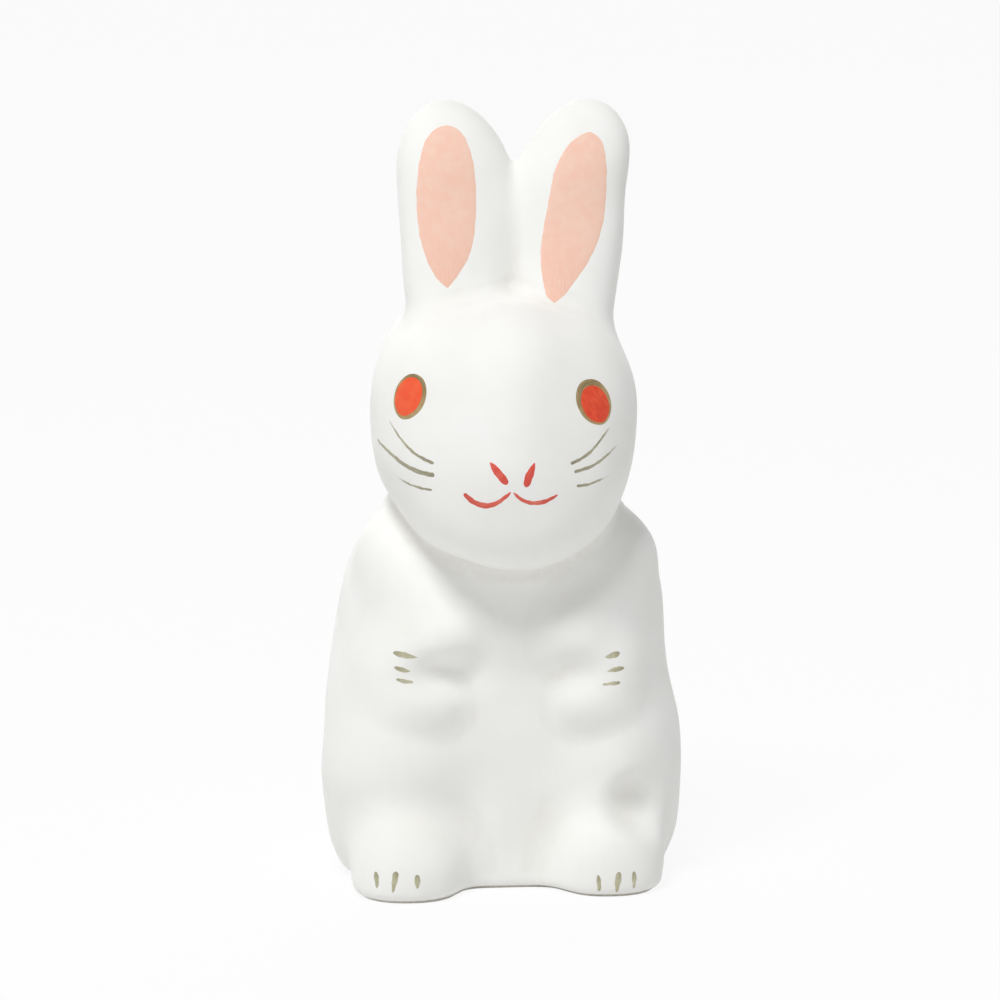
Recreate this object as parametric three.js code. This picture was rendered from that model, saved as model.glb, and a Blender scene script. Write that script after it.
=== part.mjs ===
// A papier-mache rabbit figurine: two pasted paper half shells, the paper strips that cover
// the joint between them, a card that closes the base, and the painted marks as thin coats.
// Units are millimetres. X is the viewer's right, the face looks along -Y, and Z is up.
// The origin is on the underside of the base card, where the rabbit stands.

import * as THREE from 'three';

// Body
const bodyHeight = 50;
const bodyWidth = 44.6;
const bodyDepth = 30;
const bodySetBack = 4;
const bodySquareness = 2.8;
const bodyLean = 0.35;
const collarRise = 3;

// Haunches and feet
const haunchWidth = 16;
const haunchDepth = 22;
const haunchHeight = 23;
const haunchLevel = 15.5;
const haunchInset = 8.5;
const leftHaunchProud = 2.3;
const rightHaunchProud = 1.1;
const haunchFillet = 5;
const leftFootWidth = 14;
const rightFootWidth = 13.2;
const footRise = 7.4;
const footLevel = 2;
const leftFootReach = 6.8;
const rightFootReach = 5.8;
const leftFootInset = 9;
const rightFootInset = 9.7;
const footFillet = 4.5;

// The dent between the right haunch and the right foot
const dentAside = 18.2;
const dentLevel = 11.2;
const dentWidth = 11;
const dentDepth = 8;
const dentHeight = 7.6;
const dentAhead = 7;
const dentFillet = 2;

// Arms and paws
const shoulderLevel = 42;
const shoulderInset = 8.1;
const leftShoulderSink = 4.3;
const rightShoulderSink = 5.5;
const shoulderRadius = 4.5;
const wristLevel = 32.8;
const wristApart = 17.4;
const wristSink = 2.1;
const wristRadius = 4.9;
const knuckleApart = 26;
const knuckleSink = 2.4;
const knuckleWidth = 9.2;
const knuckleDepth = 10.4;
const knuckleHeight = 13;
const pawLevel = 24.2;
const pawApart = 21.2;
const pawSink = 2.35;
const pawWidth = 11;
const pawDepth = 10;
const pawHeight = 9.8;
const pawFillet = 2;
const armFillet = 3;
const gripInset = 0.2;
const gripWidth = 10;
const gripDepth = 5.2;
const gripHeight = 4;
const leftGripAhead = 3.9;
const rightGripAhead = 5;

// Tail
const tailWidth = 12;
const tailReach = 3.6;
const tailLevel = 9.5;
const tailFillet = 3;

// Head
const headWidth = 33.6;
const headDepth = 30.8;
const headHeight = 33.6;
const headSeat = 7.3;
const headForward = 1.6;
const headTilt = 1.5;
const headRoundAbove = 2.5;
const headRoundBelow = 2.25;
const noseAside = 0.85;
const muzzleWidth = 20;
const muzzleDepth = 12.4;
const muzzleHeight = 16.4;
const muzzleDrop = 8.1;
const muzzleProud = 1.85;
const muzzleSquareness = 2.6;
const bridgeWidth = 9;
const bridgeDepth = 9.8;
const bridgeHeight = 20;
const faceFillet = 6;
const neckFillet = 1.2;

// Ears
const earLength = 30;
const earSeat = 6.3;
const earWidth = 13.9;
const earDepth = 9.2;
const earApart = 12.5;
const leftEarCap = 8.9;
const rightEarCap = 9.8;
const earSweep = 4.6;
const earAhead = 0.6;
const leftEarLean = 1.4;
const rightEarLean = 4.1;
const earSquareness = 2.4;
const earFillet = 1.8;
const earGrooveFillet = 1.2;
const webRise = 13.2;
const webSeat = 1.3;
const webWidth = 14;
const webDepth = 8.4;
const webFillet = 2.5;

// Paper, paste and paint
const wall = 1.8;
const cardThickness = 0.8;
const pasteGap = 0.3;
const stripThickness = 0.5;
const stripWidth = 4.4;
const stripRound = 5;
const bodyStripEnd = 36;
const headStripEnd = 68;
const paintThickness = 0.2;
const paintLift = 0.25;

// Where the drawn rings tip at the neck, and how they pass the web between the ears
const neckStart = 40;
const neckEnd = 56;
const archMeasure = 4;
const archMargin = 1;

// Painted eyes, nose, mouth and whiskers. Angles are in degrees, and turns go round the head
// from the front.
const eyeWidth = 5.5;
const eyeHeight = 6;
const eyeRing = 0.65;
const leftEyeTurn = -48;
const leftEyeRise = 5.45;
const leftEyeTilt = -9;
const rightEyeTurn = 36.9;
const rightEyeRise = 4.7;
const rightEyeTilt = 6;
const nostrilWidth = 1.15;
const mouthWidth = 0.7;
const whiskerWidth = 0.55;
const pawClawWidth = 0.75;
const toeClawWidth = 0.75;

// Places worked out from the sizes
const headTop = bodyHeight - headSeat + headHeight;
const headLevel = headTop - headHeight / 2;
const earRoot = headTop - earSeat;
const seamY = 1.2;
const sides = { left: -1, right: 1 };

// Returns the value at a height on the smooth curve through [height, value] stations.
function along(height, stations) {
  const last = stations.length - 1;
  const h = Math.min(Math.max(height, stations[0][0]), stations[last][0]);
  let i = 0;
  while (i < last - 1 && h >= stations[i + 1][0]) i += 1;
  const slope = (k) => {
    const a = Math.max(k - 1, 0);
    const b = Math.min(k + 1, last);
    return (stations[b][1] - stations[a][1]) / (stations[b][0] - stations[a][0]);
  };
  const step = stations[i + 1][0] - stations[i][0];
  const t = (h - stations[i][0]) / step;
  const from = stations[i][1] * (1 + 2 * t) * (1 - t) ** 2 + slope(i) * step * t * (1 - t) ** 2;
  const to = stations[i + 1][1] * t * t * (3 - 2 * t) + slope(i + 1) * step * t * t * (t - 1);
  return from + to;
}

// Joins two forms given as distances, with a fillet about reach wide.
function blend(a, b, reach) {
  const share = Math.min(Math.max(0.5 + (0.5 * (b - a)) / reach, 0), 1);
  return b + (a - b) * share - reach * share * (1 - share);
}

// Takes form b out of form a, with a soft edge about reach wide.
const carve = (a, b, reach) => -blend(-a, b, reach);

// Distance to an egg: a rounded box where power is over 2, an ellipsoid where it is 2.
function egg(x, y, z, centre, radii, power = 2) {
  const px = Math.abs((x - centre[0]) / radii[0]) ** power;
  const py = Math.abs((y - centre[1]) / radii[1]) ** power;
  const pz = Math.abs((z - centre[2]) / radii[2]) ** power;
  return ((px + py + pz) ** (1 / power) - 1) * Math.min(...radii);
}

// Distance to a tapered limb with round ends.
function limb(x, y, z, start, end, startRadius, endRadius) {
  const run = end.map((value, i) => value - start[i]);
  const from = [x - start[0], y - start[1], z - start[2]];
  const squared = run[0] ** 2 + run[1] ** 2 + run[2] ** 2;
  const dot = from[0] * run[0] + from[1] * run[1] + from[2] * run[2];
  const t = Math.min(Math.max(dot / squared, 0), 1);
  const off = Math.hypot(from[0] - t * run[0], from[1] - t * run[1], from[2] - t * run[2]);
  return off - (startRadius + (endRadius - startRadius) * t);
}

// The body's half width, half depth, middle and sideways lean, up its height
const widthShares = [
  [-0.08, 0.87], [0, 0.925], [0.1, 1.005], [0.24, 0.997], [0.36, 0.97], [0.48, 0.973],
  [0.62, 0.951], [0.74, 0.915], [0.84, 0.839], [0.92, 0.735], [1, 0.61], [1.1, 0.493],
];
const depthShares = [
  [-0.08, 0.94], [0, 1], [0.16, 1], [0.36, 1], [0.56, 0.96],
  [0.76, 0.867], [0.88, 0.78], [1, 0.653], [1.1, 0.533],
];
const setBackShares = [[0, 0.85], [0.3, 1], [0.6, 0.85], [0.84, 0.7], [1.1, 0.62]];
const leanShares = [
  [0, 0.3], [0.1, 0.8], [0.26, -0.1], [0.38, -0.2], [0.52, -0.6],
  [0.68, 0.4], [0.86, 1], [1, 0.6], [1.2, 0],
];
const halfWidth = (z) => (bodyWidth / 2) * along(z / bodyHeight, widthShares);
const halfDepth = (z) => (bodyDepth / 2) * along(z / bodyHeight, depthShares);
const middle = (z) => bodySetBack * along(z / bodyHeight, setBackShares);
const lean = (z) => bodyLean * along(z / bodyHeight, leanShares);

// The depth coordinate of the body's front, at a place across it and a height.
function bodyFront(x, z) {
  const across = Math.min(Math.abs(x) / halfWidth(z), 1) ** bodySquareness;
  return middle(z) - halfDepth(z) * (1 - across) ** (1 / bodySquareness);
}

function torso(x, y, z) {
  const w = halfWidth(z);
  const d = halfDepth(z);
  const across = Math.abs(x / w) ** bodySquareness;
  const through = Math.abs((y - middle(z)) / d) ** bodySquareness;
  const round = ((across + through) ** (1 / bodySquareness) - 1) * Math.min(w, d);
  return Math.max(round, z - bodyHeight - collarRise);
}

// The centres of the forms on the body, on one side of it
const haunchX = bodyWidth / 2 - haunchInset;
const haunchProud = { left: leftHaunchProud, right: rightHaunchProud };
const haunchFront = bodyFront(0, haunchLevel) + haunchDepth / 2;
const shoulderX = bodyWidth / 2 - shoulderInset;
const shoulderSink = { left: leftShoulderSink, right: rightShoulderSink };
const shoulderFront = bodyFront(shoulderX, shoulderLevel);
const wristX = wristApart / 2;
const wristY = bodyFront(wristX, wristLevel) + wristSink;
const pawX = pawApart / 2;
const pawY = bodyFront(pawX, pawLevel) + pawSink;
const knuckleX = knuckleApart / 2;
const knuckleLevel = (wristLevel + pawLevel) / 2;
const knuckleY = bodyFront(knuckleX, knuckleLevel) + knuckleSink;
const footX = { left: bodyWidth / 2 - leftFootInset, right: bodyWidth / 2 - rightFootInset };
const footReach = { left: leftFootReach, right: rightFootReach };
const footWidth = { left: leftFootWidth, right: rightFootWidth };
const footY = bodyFront(0, footLevel);
const gripAhead = { left: leftGripAhead, right: rightGripAhead };
const dent = [dentAside, bodyFront(dentAside, dentLevel) - dentAhead, dentLevel];
const dentSize = [dentWidth / 2, dentDepth / 2, dentHeight / 2];

// The body with its haunches, feet, arms, paws and tail.
function body(worldX, y, z) {
  const x = worldX - lean(z);
  let form = torso(x, y, z);
  for (const [name, side] of Object.entries(sides)) {
    const haunch = [side * haunchX, haunchFront - haunchProud[name], haunchLevel];
    const haunchSize = [haunchWidth / 2, haunchDepth / 2, haunchHeight / 2];
    form = blend(form, egg(x, y, z, haunch, haunchSize), haunchFillet);
    const foot = [side * footX[name], footY, footLevel];
    const footSize = [footWidth[name] / 2, footReach[name], footRise];
    form = blend(form, egg(x, y, z, foot, footSize, 2.2), footFillet);
    const shoulder = [side * shoulderX, shoulderFront + shoulderSink[name], shoulderLevel];
    const wrist = [side * wristX, wristY, wristLevel];
    form = blend(form, limb(x, y, z, shoulder, wrist, shoulderRadius, wristRadius), armFillet);
    const knuckle = [side * knuckleX, knuckleY, knuckleLevel];
    const knuckleSize = [knuckleWidth / 2, knuckleDepth / 2, knuckleHeight / 2];
    form = blend(form, egg(x, y, z, knuckle, knuckleSize), armFillet);
    const paw = [side * pawX, pawY, pawLevel];
    form = blend(form, egg(x, y, z, paw, [pawWidth / 2, pawDepth / 2, pawHeight / 2]), pawFillet);
    const gripX = pawX - gripWidth / 2 - gripInset;
    const grip = [side * gripX, bodyFront(gripX, knuckleLevel) - gripAhead[name], knuckleLevel];
    form = carve(form, egg(x, y, z, grip, [gripWidth / 2, gripDepth / 2, gripHeight / 2]), armFillet);
  }
  form = carve(form, egg(x, y, z, dent, dentSize), dentFillet);
  const tailY = middle(tailLevel) + halfDepth(tailLevel);
  const tail = [0, tailY, tailLevel];
  return blend(form, egg(x, y, z, tail, [tailWidth / 2, tailReach, tailWidth / 2]), tailFillet);
}

// The depth coordinate of the face at a drop below the middle of the head.
const headY = -headForward;
function faceFront(drop) {
  const down = Math.min(drop / (headHeight / 2), 1) ** headRoundBelow;
  return headY - (headDepth / 2) * (1 - down) ** (1 / headRoundBelow);
}

// How square the head is, seen from above: nearly round at the chin, squarer at the crown
const headSquareness = [[-1, 2.2], [-0.5, 2.45], [0, 2.85], [1, 3]];

// The head with its muzzle and the bridge of its nose, tilted a little to one side.
function head(worldX, y, worldZ) {
  const angle = THREE.MathUtils.degToRad(headTilt);
  const rise = worldZ - headLevel;
  const x = worldX * Math.cos(angle) - rise * Math.sin(angle);
  const z = worldX * Math.sin(angle) + rise * Math.cos(angle);
  const square = along(z / (headHeight / 2), headSquareness);
  const across = Math.abs(x / (headWidth / 2)) ** square;
  const through = Math.abs((y - headY) / (headDepth / 2)) ** square;
  const plan = (across + through) ** (1 / square);
  const power = z > 0 ? headRoundAbove : headRoundBelow;
  const up = Math.abs(z / (headHeight / 2)) ** power;
  let form = ((plan ** power + up) ** (1 / power) - 1) * (headDepth / 2);
  const muzzleY = faceFront(muzzleDrop) - muzzleProud + muzzleDepth / 2;
  const muzzle = [noseAside, muzzleY, -muzzleDrop];
  const muzzleSize = [muzzleWidth / 2, muzzleDepth / 2, muzzleHeight / 2];
  form = blend(form, egg(x, y, z, muzzle, muzzleSize, muzzleSquareness), faceFillet);
  const bridge = [noseAside, faceFront(0) + bridgeDepth / 2, 0];
  const bridgeSize = [bridgeWidth / 2, bridgeDepth / 2, bridgeHeight / 2];
  return blend(form, egg(x, y, z, bridge, bridgeSize), faceFillet);
}

// How an ear leans out, widens, thins and sweeps back, from its root to its tip
const leanOutShares = [[0, 0], [0.35, 0.32], [0.7, 0.56], [0.87, 0.8], [1, 1]];
const earWidthShares = [[0, 0.93], [0.4, 1], [0.7, 1], [1, 0.985]];
const earDepthShares = [[0, 1.3], [0.333, 1.11], [0.667, 1], [1, 0.87]];
const sweepShares = [[0, 0], [0.333, 0.43], [0.667, 0.76], [1, 1]];
const earLean = { left: leftEarLean, right: rightEarLean };
const earCap = { left: leftEarCap, right: rightEarCap };
const upEar = (z) => (z - earRoot) / earLength;
const earTip = earRoot + earLength;

function earMiddle(name, z) {
  const out = earApart / 2 + earLean[name] * along(upEar(z), leanOutShares);
  return noseAside + sides[name] * out;
}

const earY = (z) => headY - earAhead + earSweep * along(upEar(z), sweepShares);

function ear(x, y, z, name) {
  const w = (earWidth / 2) * along(upEar(z), earWidthShares);
  const d = (earDepth / 2) * along(upEar(z), earDepthShares);
  const up = Math.max(z - (earTip - earCap[name]), 0) / earCap[name];
  const flat = Math.abs((x - earMiddle(name, z)) / w) ** earSquareness;
  const thick = Math.abs((y - earY(z)) / d) ** earSquareness;
  return (Math.hypot((flat + thick) ** (1 / earSquareness), up) - 1) * d;
}

// Both ears with the web that joins their lower halves.
function ears(x, y, z) {
  const both = blend(ear(x, y, z, 'left'), ear(x, y, z, 'right'), earGrooveFillet);
  const web = [noseAside, seamY, headTop - webSeat];
  const webSize = [webWidth / 2, webDepth / 2, webRise + webSeat];
  return blend(both, egg(x, y, z, web, webSize, 2.2), webFillet);
}

// The whole rabbit as one form: negative inside, near zero on the skin.
function rabbit(x, y, z) {
  const upper = blend(head(x, y, z), ears(x, y, z), earFillet);
  return blend(body(x, y, z), upper, neckFillet);
}

// Walks from a point inside the form until the form's value passes level, and returns the point.
const walkStep = 0.8;
const walkLimit = 60;
function reach(from, direction, level = 0, form = rabbit) {
  const length = Math.hypot(...direction);
  const at = (t) => from.map((value, i) => value + (direction[i] / length) * t);
  let out = walkStep;
  while (out < walkLimit && form(...at(out)) < level) out += walkStep;
  let inside = out - walkStep;
  for (let i = 0; i < 22; i += 1) {
    const half = (inside + out) / 2;
    if (form(...at(half)) < level) inside = half;
    else out = half;
  }
  return at((inside + out) / 2);
}

// How fast the form's value grows along each axis at a point.
const slopeStep = 0.05;
function slope(p) {
  return [0, 1, 2].map((i) => {
    const ahead = p.map((value, k) => value + (k === i ? slopeStep : 0));
    const behind = p.map((value, k) => value - (k === i ? slopeStep : 0));
    return (rabbit(...ahead) - rabbit(...behind)) / (2 * slopeStep);
  });
}

// The direction straight out of the skin at a point.
function outward(p) {
  const steep = slope(p);
  return steep.map((value) => value / Math.hypot(...steep));
}

// Moves a point near the skin straight onto it.
function onto(p) {
  let moved = p;
  for (let i = 0; i < 3; i += 1) {
    const steep = slope(moved);
    const share = rabbit(...moved) / Math.hypot(...steep) ** 2;
    moved = moved.map((value, k) => value - steep[k] * share);
  }
  return moved;
}

// Moves a point of the skin inward by a depth. A point of the parting plane stays on it.
function sunk(p, depth) {
  const n = outward(p);
  const moved = p.map((value, i) => value - n[i] * depth);
  if (Math.abs(p[1] - seamY) < 1e-6) moved[1] = seamY;
  return moved;
}

// Painted lines on the head, as a turn and a share of the head's half height
const nostrils = {
  left: [[-3.5, -0.29], [-7, -0.21], [-10.7, -0.13]],
  right: [[4.3, -0.32], [6.1, -0.22], [7.9, -0.13]],
};
const mouths = {
  left: [[-21.6, -0.37], [-18, -0.46], [-11.9, -0.48], [-6.6, -0.43], [-2.1, -0.35]],
  right: [[17.8, -0.39], [13.7, -0.43], [8.4, -0.45], [2.8, -0.42], [-0.6, -0.36]],
};
const whiskers = {
  left: [
    [[-34.2, -0.155], [-42.6, -0.1], [-48.6, -0.02], [-58.4, 0.114]],
    [[-34, -0.245], [-41.9, -0.235], [-50.2, -0.19], [-59.1, -0.123], [-71.9, -0.073]],
    [[-35.7, -0.363], [-42.9, -0.36], [-50.7, -0.337], [-58.9, -0.279]],
  ],
  right: [
    [[23, -0.157], [30, -0.102], [35.8, -0.02], [42.8, 0.079]],
    [[24.5, -0.223], [33.3, -0.188], [40, -0.13], [47, -0.064]],
    [[25.7, -0.332], [30.9, -0.33], [35.3, -0.31], [42.4, -0.277]],
  ],
};

// Painted claws, as shares of the half width and half height of the paw, or of the foot
const pawClaws = {
  left: [
    [[-0.4, 0.44], [0.22, 0.38]],
    [[-0.36, 0.16], [0.05, 0.09]],
    [[-0.27, -0.07], [0.11, -0.13]],
  ],
  right: [
    [[0.21, 0.35], [-0.15, 0.31]],
    [[0.33, 0.06], [-0.07, 0.01]],
    [[0.24, -0.23], [-0.23, -0.24]],
  ],
};
const toeClaws = {
  left: [
    [[-0.66, 0.27], [-0.63, 0.01]],
    [[-0.3, 0.31], [-0.35, -0.04]],
    [[0.08, 0.27], [0.09, 0.03]],
  ],
  right: [
    [[-0.32, 0.13], [-0.29, -0.11]],
    [[0.07, 0.19], [0.07, -0.16]],
    [[0.39, 0.17], [0.39, -0.09]],
  ],
};

// The edges of the pink on each ear: height as a share of the ear, then a share of its half width
const pinkEdges = {
  left: {
    left: [[0.245, -0.24], [0.27, -0.42], [0.34, -0.58], [0.47, -0.71], [0.66, -0.72], [0.84, -0.52],
      [0.912, -0.06]],
    right: [[0.245, -0.24], [0.29, -0.04], [0.375, 0.24], [0.51, 0.34], [0.66, 0.38], [0.858, 0.21],
      [0.912, -0.06]],
  },
  right: {
    left: [[0.184, -0.25], [0.217, -0.42], [0.305, -0.53], [0.463, -0.56], [0.738, -0.43],
      [0.842, -0.23], [0.876, 0.1]],
    right: [[0.184, -0.25], [0.205, -0.06], [0.273, 0.15], [0.376, 0.4], [0.5, 0.55], [0.653, 0.57],
      [0.839, 0.34], [0.876, 0.1]],
  },
};

// The skin is drawn as rings. Each ring lies on a plane that tips forward at the neck, so that
// it passes under the chin in front and over the shoulders behind.
const tipShares = [[0.56, 0], [0.8, 0.25], [0.97, 0.45], [1.08, 0.36], [1.34, 0]];
const tip = (height) => along(height / bodyHeight, tipShares);

// The axis that the rings go round, up the body and head
function axisX(height) {
  const share = THREE.MathUtils.smoothstep(height, headLevel, headTop);
  return lean(height) * (1 - share) + noseAside * share;
}

// The depth of the form in front of the parting plane and behind it sets the step for the strip.
const stepLow = stripWidth / 2 + pasteGap;
const stepTop = stepLow + pasteGap;
const stepAt = (deep) => ({ low: Math.min(stepLow, 0.45 * deep), top: Math.min(stepTop, 0.6 * deep) });

// One level cut through the form: a way to walk out to its skin, and its measures.
function section(centreX, height, level = 0) {
  const slant = tip(height);
  const cast = (dx, dy, start = 0) => {
    return reach([centreX, seamY + start, height + slant * start], [dx, dy, slant * dy], level);
  };
  const front = seamY - cast(0, -1)[1];
  const back = cast(0, 1)[1] - seamY;
  const half = (cast(1, 0)[0] - cast(-1, 0)[0]) / 2;
  return { cast, front, back, half, ...stepAt(Math.min(front, back)) };
}

// How many points and rings draw the skin. Each side of a ring has a few more points: the seam,
// and the foot and top of the step on either hand.
const bodyRingCount = 17;
const neckRingCount = 10;
const headRingCount = 16;
const capRingCount = 5;
const frontCount = 23;
const backCount = 15;
const bodyPoints = { front: frontCount, back: backCount };
const earPoints = { front: (frontCount + 1) / 2, back: (backCount + 1) / 2 };
const acrossStep = (low, top) => [-top, -low, 0, low, top];
const sidePoints = acrossStep(stepLow, stepTop).length;
const ringLength = (points) => points.front + points.back + 2 * sidePoints;
const rightSeam = (points) => points.front + sidePoints;
const frontMiddle = (points) => (points.front + sidePoints) / 2;
const backMiddle = (points) => rightSeam(points) + (points.back + sidePoints) / 2;

// One ring of points: the seam on the left, then the front from left to right, the seam on the
// right, and the back. Next to each seam come the foot and the top of the step for the strip.
function ring(centreX, height, points, level = 0) {
  const { cast, front, back, half, low, top } = section(centreX, height, level);
  const deep = Math.max(front, back);
  const first = Math.asin(Math.min(top / deep, 0.9));
  const arc = (count, ahead) => Array.from({ length: count }, (_, k) => {
    const angle = first + ((k + 1) * (Math.PI - 2 * first)) / (count + 1);
    return cast(ahead * Math.cos(angle) * half, ahead * Math.sin(angle) * deep);
  });
  return [
    cast(-1, 0), cast(-1, 0, -low), cast(-1, 0, -top), ...arc(points.front, -1),
    cast(1, 0, -top), cast(1, 0, -low), cast(1, 0), cast(1, 0, low), cast(1, 0, top),
    ...arc(points.back, 1), cast(-1, 0, top), cast(-1, 0, low),
  ];
}

// Even heights from one height to another, without the last one.
function spread(from, to, count) {
  return Array.from({ length: count }, (_, k) => from + ((to - from) * k) / count);
}

// The arch of the web between the ears, from front to back over the parting plane.
function webArch(level) {
  const foot = [noseAside, seamY, headTop];
  const crown = reach(foot, [0, 0, 1], level)[2];
  const { low, top } = section(noseAside, crown - archMeasure, level);
  const points = acrossStep(low, top).map((dy) => {
    return reach([noseAside, seamY + dy, headTop], [0, 0, 1], level);
  });
  const heights = points.map((p) => p[2]);
  return { points, low, lowest: Math.min(...heights), highest: Math.max(...heights) };
}

// Heights of the rings: up the body and neck, up the head to just under the web's arch, and up
// the ears, closer together on the round cap.
const stripEnd = earTip - stripRound;
function trunkHeights(arch) {
  return [
    ...spread(cardThickness, neckStart, bodyRingCount),
    ...spread(neckStart, neckEnd, neckRingCount),
    ...spread(neckEnd, arch.lowest - archMargin, headRingCount),
    arch.lowest - archMargin,
  ];
}
function earHeights(arch, peak) {
  const cap = Array.from({ length: capRingCount }, (_, k) => {
    const angle = ((Math.PI / 2) * (k + 1)) / (capRingCount + 1);
    return stripEnd + (peak - stripEnd) * Math.sin(angle);
  });
  return [(arch.highest + stripEnd) / 2, stripEnd, ...cap];
}

// All the points of the skin at one depth: the rings of the body and head, the web's arch, and
// the rings and tip of each ear.
function drawSkin(level) {
  const arch = webArch(level);
  const heights = trunkHeights(arch);
  const points = heights.flatMap((z) => ring(axisX(z), z, bodyPoints, level));
  const archAt = points.length;
  points.push(...arch.points);
  const horns = Object.keys(sides).map((name) => {
    const start = arch.highest + archMargin;
    const rise = [earMiddle(name, earTip) - earMiddle(name, start), 0, earTip - start];
    const peak = reach([earMiddle(name, start), seamY, start], rise, level);
    const zs = earHeights(arch, peak[2]);
    const at = points.length;
    zs.forEach((z) => points.push(...ring(earMiddle(name, z), z, earPoints, level)));
    points.push(peak);
    return { at, zs };
  });
  return { points, heights, archAt, horns };
}

// The faces of one half of a skin, front or back, as lists of point numbers.
function halfFaces(skin, half) {
  const faces = [];
  const round = ringLength(bodyPoints);
  const earRound = ringLength(earPoints);
  const from = (points) => (half === 'front' ? 0 : rightSeam(points));
  const steps = (points) => points[half] + sidePoints;
  const last = (skin.heights.length - 1) * round;
  for (let c = from(bodyPoints); c < from(bodyPoints) + steps(bodyPoints); c += 1) {
    const next = (c + 1) % round;
    for (let row = 0; row < last; row += round) {
      faces.push([row + c, row + next, row + round + next, row + round + c]);
    }
  }
  const run = (a, b) => Array.from({ length: b - a + 1 }, (_, k) => last + a + k);
  const [frontTop, frontLow, seam, backLow, backTop] = [0, 1, 2, 3, 4].map((k) => skin.archAt + k);
  const middles = [frontMiddle(bodyPoints), backMiddle(bodyPoints)];
  const loops = [
    [...run(0, middles[0]), frontTop, frontLow, seam, backLow, backTop, ...run(middles[1], round - 1)],
    [seam, frontLow, frontTop, ...run(...middles), backTop, backLow],
  ];
  skin.horns.forEach((horn, side) => {
    const rows = [loops[side], ...horn.zs.map((_, k) => {
      return Array.from({ length: earRound }, (__, c) => horn.at + k * earRound + c);
    })];
    const peak = horn.at + horn.zs.length * earRound;
    for (let c = from(earPoints); c < from(earPoints) + steps(earPoints); c += 1) {
      const next = (c + 1) % earRound;
      for (let k = 0; k < rows.length - 1; k += 1) {
        faces.push([rows[k][c], rows[k][next], rows[k + 1][next], rows[k + 1][c]]);
      }
      faces.push([rows.at(-1)[c], rows.at(-1)[next], peak]);
    }
  });
  return faces;
}

// A named mesh from points and triangles, turned so that its faces point out.
function solid(name, positions, index, material) {
  let volume = 0;
  for (let i = 0; i < index.length; i += 3) {
    const [a, b, c] = [0, 1, 2].map((k) => new THREE.Vector3(...positions[index[i + k]]));
    volume += a.dot(b.cross(c));
  }
  if (volume < 0) index.reverse();
  const geometry = new THREE.BufferGeometry();
  geometry.setAttribute('position', new THREE.Float32BufferAttribute(positions.flat(), 3));
  geometry.setIndex(index);
  geometry.computeVertexNormals();
  const mesh = new THREE.Mesh(geometry, material);
  mesh.name = name;
  return mesh;
}

// A closed solid between two layers of points that share their faces: the outer layer, the
// inner layer turned over, and a rim where the faces end.
function layered(name, outer, inner, faces, material) {
  const used = [...new Set(faces.flat())];
  const place = new Map(used.map((id, k) => [id, k]));
  const positions = [...used.map((id) => outer[id]), ...used.map((id) => inner[id])];
  const count = used.length;
  const index = [];
  const edges = new Map();
  const apart = (a, b) => Math.hypot(...positions[a].map((value, i) => value - positions[b][i]));
  const cut = (corners, layer) => {
    const [a, b, c, d] = corners.map((k) => k + layer);
    if (d === undefined) return [[a, b, c]];
    return apart(a, c) <= apart(b, d) ? [[a, b, c], [a, c, d]] : [[a, b, d], [b, c, d]];
  };
  for (const face of faces) {
    const corners = face.map((id) => place.get(id));
    cut(corners, 0).forEach((t) => index.push(...t));
    cut(corners, count).forEach(([a, b, c]) => index.push(a, c, b));
    corners.forEach((from, k) => {
      const to = corners[(k + 1) % corners.length];
      if (!edges.delete(`${to} ${from}`)) edges.set(`${from} ${to}`, [from, to]);
    });
  }
  for (const [from, to] of edges.values()) {
    index.push(to, from, from + count, to, from + count, to + count);
  }
  return solid(name, positions, index, material);
}

// The faces of a patch made of rows of points. A row of one point closes an end of the patch.
function rowFaces(rows) {
  const starts = [];
  let total = 0;
  for (const row of rows) {
    starts.push(total);
    total += row.length;
  }
  const faces = [];
  for (let r = 0; r + 1 < rows.length; r += 1) {
    const here = (c) => starts[r] + Math.min(c, rows[r].length - 1);
    const above = (c) => starts[r + 1] + Math.min(c, rows[r + 1].length - 1);
    const columns = Math.max(rows[r].length, rows[r + 1].length);
    for (let c = 0; c + 1 < columns; c += 1) {
      faces.push([...new Set([here(c), here(c + 1), above(c + 1), above(c)])]);
    }
  }
  return faces;
}

// Finishes
const finish = (color, roughness) => new THREE.MeshStandardMaterial({ color, roughness, metalness: 0 });
const gofun = () => finish(0xf6f5ef, 0.62);
const pastedPaper = () => finish(0xece8dc, 0.8);
const card = () => finish(0xdedbd0, 0.85);
const earPink = () => finish(0xf7cbb4, 0.6);
const eyeRed = () => finish(0xf25a33, 0.45);
const ringGold = () => finish(0xb59a6c, 0.5);
const noseRed = () => finish(0xdb5c52, 0.5);
const mouthRed = () => finish(0xd8644f, 0.5);
const whiskerGold = () => finish(0xc4b98e, 0.5);
const clawGold = () => finish(0xb0a27c, 0.5);

// The two paper half shells, with a step along the seam that the strips lie in
const stepDepth = stripThickness + pasteGap;
const nearSeam = (c, points) => {
  const right = rightSeam(points);
  return [0, 1, right - 1, right, right + 1, ringLength(points) - 1].includes(c);
};

// The numbers of the skin's points that lie on the floor of the step.
function stepFloor(skin) {
  const floor = new Set([1, 2, 3].map((k) => skin.archAt + k));
  const round = ringLength(bodyPoints);
  for (let id = 0; id < skin.archAt; id += 1) {
    if (nearSeam(id % round, bodyPoints)) floor.add(id);
  }
  const earRound = ringLength(earPoints);
  for (const horn of skin.horns) {
    const end = horn.zs.filter((z) => z <= stripEnd).length * earRound;
    for (let k = 0; k < end; k += 1) {
      if (nearSeam(k % earRound, earPoints)) floor.add(horn.at + k);
    }
  }
  return floor;
}

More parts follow.
